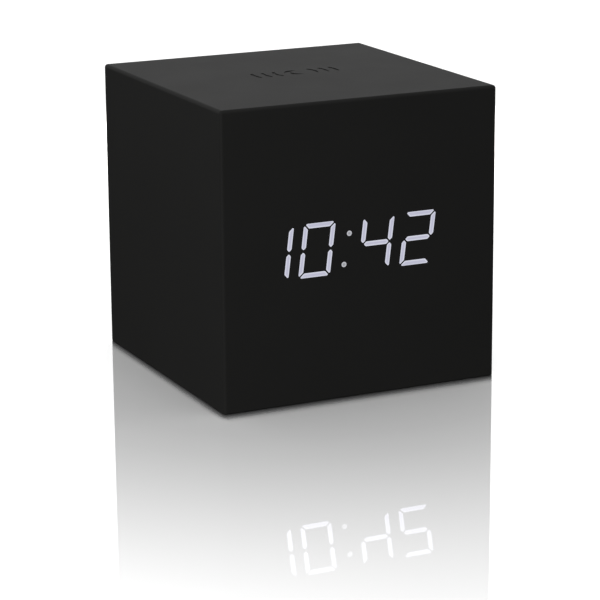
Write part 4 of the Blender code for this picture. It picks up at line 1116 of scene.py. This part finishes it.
def makeKeys(look):
    for name in ("down", "set", "up"):
        low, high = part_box(name + "_key")
        middle = (low + high) / 2
        shelf = low.y + look["flangeThickness"]
        cap = turned(name + "Key", [
            (0, low.y), (look["flangeRadius"], low.y), (look["flangeRadius"], shelf), (look["radius"], shelf),
            *roundedTop(high.y, look),
        ])
        cap.data.transform(Matrix.Translation((middle.x, 0, middle.z)))
        paint(plasticFinishes["keyRubber"], cap)
        floor, over = high.y - look["markDepth"], high.y + making["overrun"]
        cutter = prism("markCutter", [keyMark(name, middle, look)], floor, over)
        paint(plasticFinishes["markInk"], cutter)
        carve(cap, cutter)
        dropFlaps(cap)
        shadeSoft(cap)
        mount(cap, name + "_key", "key_black", name + "_key")


makeKeys(keyCap)
print("keys made")

# Screws: cross-recessed pan heads
screws = {
    "headHeight": 0.0011,
    "crown": 0.30,                  # share of the head's height that is domed
    "crownPower": 0.7,
    "crownSteps": 8,
    "underShares": (0.97, 0.08),    # the chamfer under the head, of its radius and of its height
    "sideShare": 0.6,               # of the head below its crown, the part with upright sides
    "recessReach": (0.62, 0.34),    # shares of the head's radius, at the top and the bottom of the cross
    "recessWidth": (0.20, 0.12),
    "recessDepth": 0.60,            # share of the head's height
    "recessOver": 0.0002,
    "threadPitch": 0.00055,
    "threadDepth": 0.00018,
    "tipShare": 0.3,                # of the shank's radius
    "turnSteps": 40,
    "kinds": {                      # how many, the way the head faces along Y, the shank's radius
        "cover_screw": (4, 1, 0.0011),
        "display_screw": (4, 1, 0.0009),
        "control_screw": (2, -1, 0.0009),
    },
}


def crossOutline(reach, width):
    return [
        (width, width), (reach, width), (reach, -width), (width, -width), (width, -reach), (-width, -reach),
        (-width, -width), (-reach, -width), (-reach, width), (-width, width), (-width, reach), (width, reach),
    ]


def screwProfile(length, shank, radius, look):
    # from the tip to the top of the head, with its seat at 0
    height, pitch = look["headHeight"], look["threadPitch"]
    root = shank - look["threadDepth"]
    profile = [(0, -length), (shank * look["tipShare"], -length)]
    for turn in range(int((length - shank) / pitch)):
        foot = shank - length + turn * pitch
        profile += [(root, foot), (shank, foot + pitch / 2)]
    under, lift = look["underShares"]
    side = height * (1 - look["crown"]) * look["sideShare"]
    profile += [(root, 0), (radius * under, 0), (radius, height * lift), (radius, side)]
    for step in range(1, look["crownSteps"]):
        angle = math.pi / 2 * step / look["crownSteps"]
        reach = radius * math.cos(angle) ** look["crownPower"]
        profile.append((reach, side + (height - side) * math.sin(angle)))
    return profile + [(0, height)]


def makeScrew(node, facing, shank, look):
    low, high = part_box(node)
    middle, half = spanOf(node)
    height, radius = look["headHeight"], half.x
    seat = (high.y - height) if facing > 0 else (low.y + height)
    profile = screwProfile(2 * half.y - height, shank, radius, look)
    piece = turned(node + "Fine", [(across, up * facing) for across, up in profile], "Y", look["turnSteps"])
    wide, narrow = (
        crossOutline(radius * reach, radius * width)
        for reach, width in zip(look["recessReach"], look["recessWidth"])
    )
    floor, top = height * (1 - look["recessDepth"]) * facing, (height + look["recessOver"]) * facing
    recess = lofted("recess", [(narrow, floor), (wide, top)])
    paint(metalFinishes["zincBlack"], piece, recess)
    carve(piece, recess)
    dropFlaps(piece)
    piece.data.transform(Matrix.Translation((middle.x, seat, middle.z)))
    shadeSoft(piece)
    mount(piece, "clock_case", "screw_steel", node)


for name, (count, facing, shank) in screws["kinds"].items():
    for number in range(1, count + 1):
        makeScrew(f"{name}_{number}", facing, shank, screws)
print("screws made")

# Power socket: a drawn shell round a tongue with plated strips
socket = {
    "skin": 0.0003,
    "depth": 0.0060,
    "lip": 0.00008,
    "floor": 0.0010,
    "gap": 0.0003,
    "tongueHalf": (0.0032, 0.00035),
    "tongueEase": 0.00012,
    "stripCount": 6,
    "stripPitch": 0.00085,
    "stripHalfWidth": 0.00018,
    "stripHeight": 0.00004,
    "stripSetback": 0.0005,
    "stripLength": 0.0030,
}


def easeEdges(piece, width, look):
    # drawn edges catch a thin line of light, as moulded ones do
    weld = piece.modifiers.new("weld", "WELD")
    weld.merge_threshold = look["weld"]
    bevel = piece.modifiers.new("softEdges", "BEVEL")
    bevel.width = width
    bevel.segments = look["steps"]
    bevel.limit_method = "ANGLE"
    bevel.angle_limit = look["sharp"]
    bevel.harden_normals = True
    shadeSoft(piece)


def makeSocket(look):
    low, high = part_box("power_socket_shell")
    middle, half = spanOf("power_socket_shell")
    skin = look["skin"]
    shell = prism("socketShell", [slotShape(middle.x, middle.z, half.x, half.z)], low.y, high.y)
    bore = slotShape(middle.x, middle.z, half.x - skin, half.z - skin)
    hollow = prism("socketBore", [bore], high.y - look["depth"], high.y + making["overrun"])
    paint(metalFinishes["nickel"], shell, hollow)
    carve(shell, hollow)
    easeEdges(shell, look["lip"], moulded)
    mount(shell, "clock_case", "spring_steel", "power_socket_shell")

    low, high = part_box("power_socket_tongue")
    base = slotShape(middle.x, middle.z, half.x - skin - look["gap"], half.z - skin - look["gap"])
    tongue = prism("socketTongue", [base], low.y, low.y + look["floor"])
    across, up = look["tongueHalf"]
    outline = rectangle(middle.x, middle.z, across, up, look["tongueEase"])
    blade = prism("blade", [outline], low.y + look["floor"] / 2, high.y)
    paint(plasticFinishes["partBlack"], tongue, blade)
    join(tongue, blade)
    easeEdges(tongue, look["lip"], moulded)
    mount(tongue, "clock_case", "package_black", "power_socket_tongue")

    strips = []
    for index in range(look["stripCount"]):
        x = middle.x + (index - (look["stripCount"] - 1) / 2) * look["stripPitch"]
        for side in (-1, 1):
            strips.append(rectangle(x, middle.z + side * up, look["stripHalfWidth"], look["stripHeight"]))
    end = high.y - look["stripSetback"]
    plating = prism("socketStrips", strips, end - look["stripLength"], end)
    paint(metalFinishes["gold"], plating)
    mount(plating, "clock_case", "contact_nickel")


makeSocket(socket)
print("socket made")

# Cells: sleeved cans with a raised cap at the plus end
cell = {
    "capRadius": 0.0019,
    "capHeight": 0.0010,
    "capEase": 0.0001,
    "dish": 0.00015,                # how deep the can's end lies in the sleeve's fold
    "dishShares": (0.55, 0.60),     # of the radius, at the minus end
    "lip": 0.0001,
    "fold": 0.00035,
    "foldRadius": 0.0007,
    "foldSteps": 6,
    "sleeve": (0.30, 0.31, 0.33),
    "band": (0.030, 0.033, 0.040),
    "stripe": (0.55, 0.56, 0.58),
    "film": {"Specular IOR Level": 0.5, "Coat Weight": 0.4, "Coat Roughness": 0.15},
    "bandStart": 0.0085,            # from the middle, toward the plus end
    "stripeWidth": 0.0009,
    "markHalf": (0.0011, 0.00028),
    "printFrom": 0.001,             # the signs stand on the side that faces the door
    "plusPlace": 0.0155,
    "minusPlace": -0.0165,
    "cloudSize": 0.0120,
    "darker": 0.015,
    "roughness": (0.26, 0.31),
    "grainSize": 0.0006,
    "grainDepth": 0.000003,
}


def inside(tree, first, firstHalf, second, secondHalf):
    # 1 where both distances are under their halves
    outside = calculate(tree, "MAXIMUM", beyond(tree, first, firstHalf), beyond(tree, second, secondHalf))
    return calculate(tree, "SUBTRACT", 1.0, outside)


def sleeveFinish(name, look):
    # printed film sleeve: a grey body, a dark band at the plus end and the two signs of its poles
    material, tree, shader, place = newFinish(name, look["film"])
    along, up = alongAxis(tree, place, "X"), alongAxis(tree, place, "Z")
    cloud = speckle(tree, place, look["cloudSize"])
    body = clouded(tree, cloud, look["sleeve"], look["darker"])
    colour = blend(tree, beyond(tree, along, look["bandStart"]), body, look["band"], "RGBA")
    offStripe = beyond(tree, distance(tree, along, look["bandStart"]), look["stripeWidth"] / 2)
    colour = blend(tree, offStripe, look["stripe"], colour, "RGBA")
    facing = beyond(tree, alongAxis(tree, place, "Y"), look["printFrom"])
    long, thin = look["markHalf"]
    rise = distance(tree, up, 0.0)
    for spot, crossed, tone in (
        (look["plusPlace"], True, look["stripe"]), (look["minusPlace"], False, look["band"]),
    ):
        offset = distance(tree, along, spot)
        mark = inside(tree, offset, long, rise, thin)
        if crossed:
            mark = calculate(tree, "MAXIMUM", mark, inside(tree, offset, thin, rise, long))
        colour = blend(tree, calculate(tree, "MULTIPLY", mark, facing), colour, tone, "RGBA")
    feed(tree, shader, {
        "Base Color": colour,
        "Roughness": spread(tree, cloud, *look["roughness"]),
        "Normal": grain(tree, place, look),
    })
    return material


def cellProfile(radius, length, inner, look):
    # from the middle of the minus end to the middle of the cap
    shoulder, fold = length - look["capHeight"], look["foldRadius"]
    cap, ease, dish = look["capRadius"], look["capEase"], look["dish"]
    dished, level = (radius * share for share in look["dishShares"])
    bend = arc(radius - fold, fold, fold, -math.pi / 2, math.pi / 2, look["foldSteps"])
    return [
        (0, dish - length), (dished, dish - length), (level, -length), (inner, -length),
        (inner, look["lip"] - length),
        *[(across, up - length) for across, up in bend],
        *[(across, shoulder - up) for across, up in reversed(bend)],
        (inner, shoulder), (inner, shoulder - dish),
        (cap + 2 * ease, shoulder - dish), (cap + ease, shoulder), (cap, length - 3 * ease),
        (cap - ease, length - ease), (cap - 3 * ease, length), (0, length),
    ]


def makeCells(look):
    sleeve = sleeveFinish("cellSleeve", look)
    for number in (1, 2, 3):
        middle, half = spanOf(f"battery_cell_{number}")
        inner = half.y - look["foldRadius"] - look["fold"]
        piece = turned(f"cell{number}", cellProfile(half.y, half.x, inner, look), "X")
        paint(sleeve, piece)
        paint(metalFinishes["can"], piece)
        for face in piece.data.polygons:
            if math.hypot(face.center.y, face.center.z) < inner:
                face.material_index = 1
        piece.location = middle
        if number == 2:
            piece.rotation_euler = (math.pi, 0, math.pi)
        shadeSoft(piece)
        mount(piece, "clock_case", "cell_jacket", f"battery_cell_{number}")


makeCells(cell)
print("cells made")

# Springs: tapered coils of drawn wire, widest at the plate
spring = {
    "wireRadius": 0.00025,
    "wireSteps": 3,
    "wide": 0.0034,
    "narrow": 0.0021,
    "turns": 3.25,
    "turnPoints": 28,
}


def makeSprings(look):
    wire = look["wireRadius"]
    for number in (1, 2, 3):
        low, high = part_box(f"battery_spring_{number}")
        middle = spanOf(f"battery_cell_{number}")[0]
        near, far = (low.x + wire, high.x - wire) if number == 2 else (high.x - wire, low.x + wire)
        curve = bpy.data.curves.new(f"spring{number}", "CURVE")
        curve.dimensions = "3D"
        curve.bevel_depth = wire
        curve.bevel_resolution = look["wireSteps"]
        curve.use_fill_caps = True
        count = round(look["turns"] * look["turnPoints"])
        path = curve.splines.new("POLY")
        path.points.add(count)
        for step, point in enumerate(path.points):
            share = step / count
            angle = 2 * math.pi * look["turns"] * share
            reach = look["narrow"] + (look["wide"] - look["narrow"]) * share
            point.co = (
                near + (far - near) * share,
                middle.y + reach * math.cos(angle),
                middle.z + reach * math.sin(angle),
                1,
            )
        piece = newObject(f"spring{number}", curve)
        paint(metalFinishes["springWire"], piece)
        mount(piece, "clock_case", "spring_steel", f"battery_spring_{number}")


makeSprings(spring)
print("springs wound")
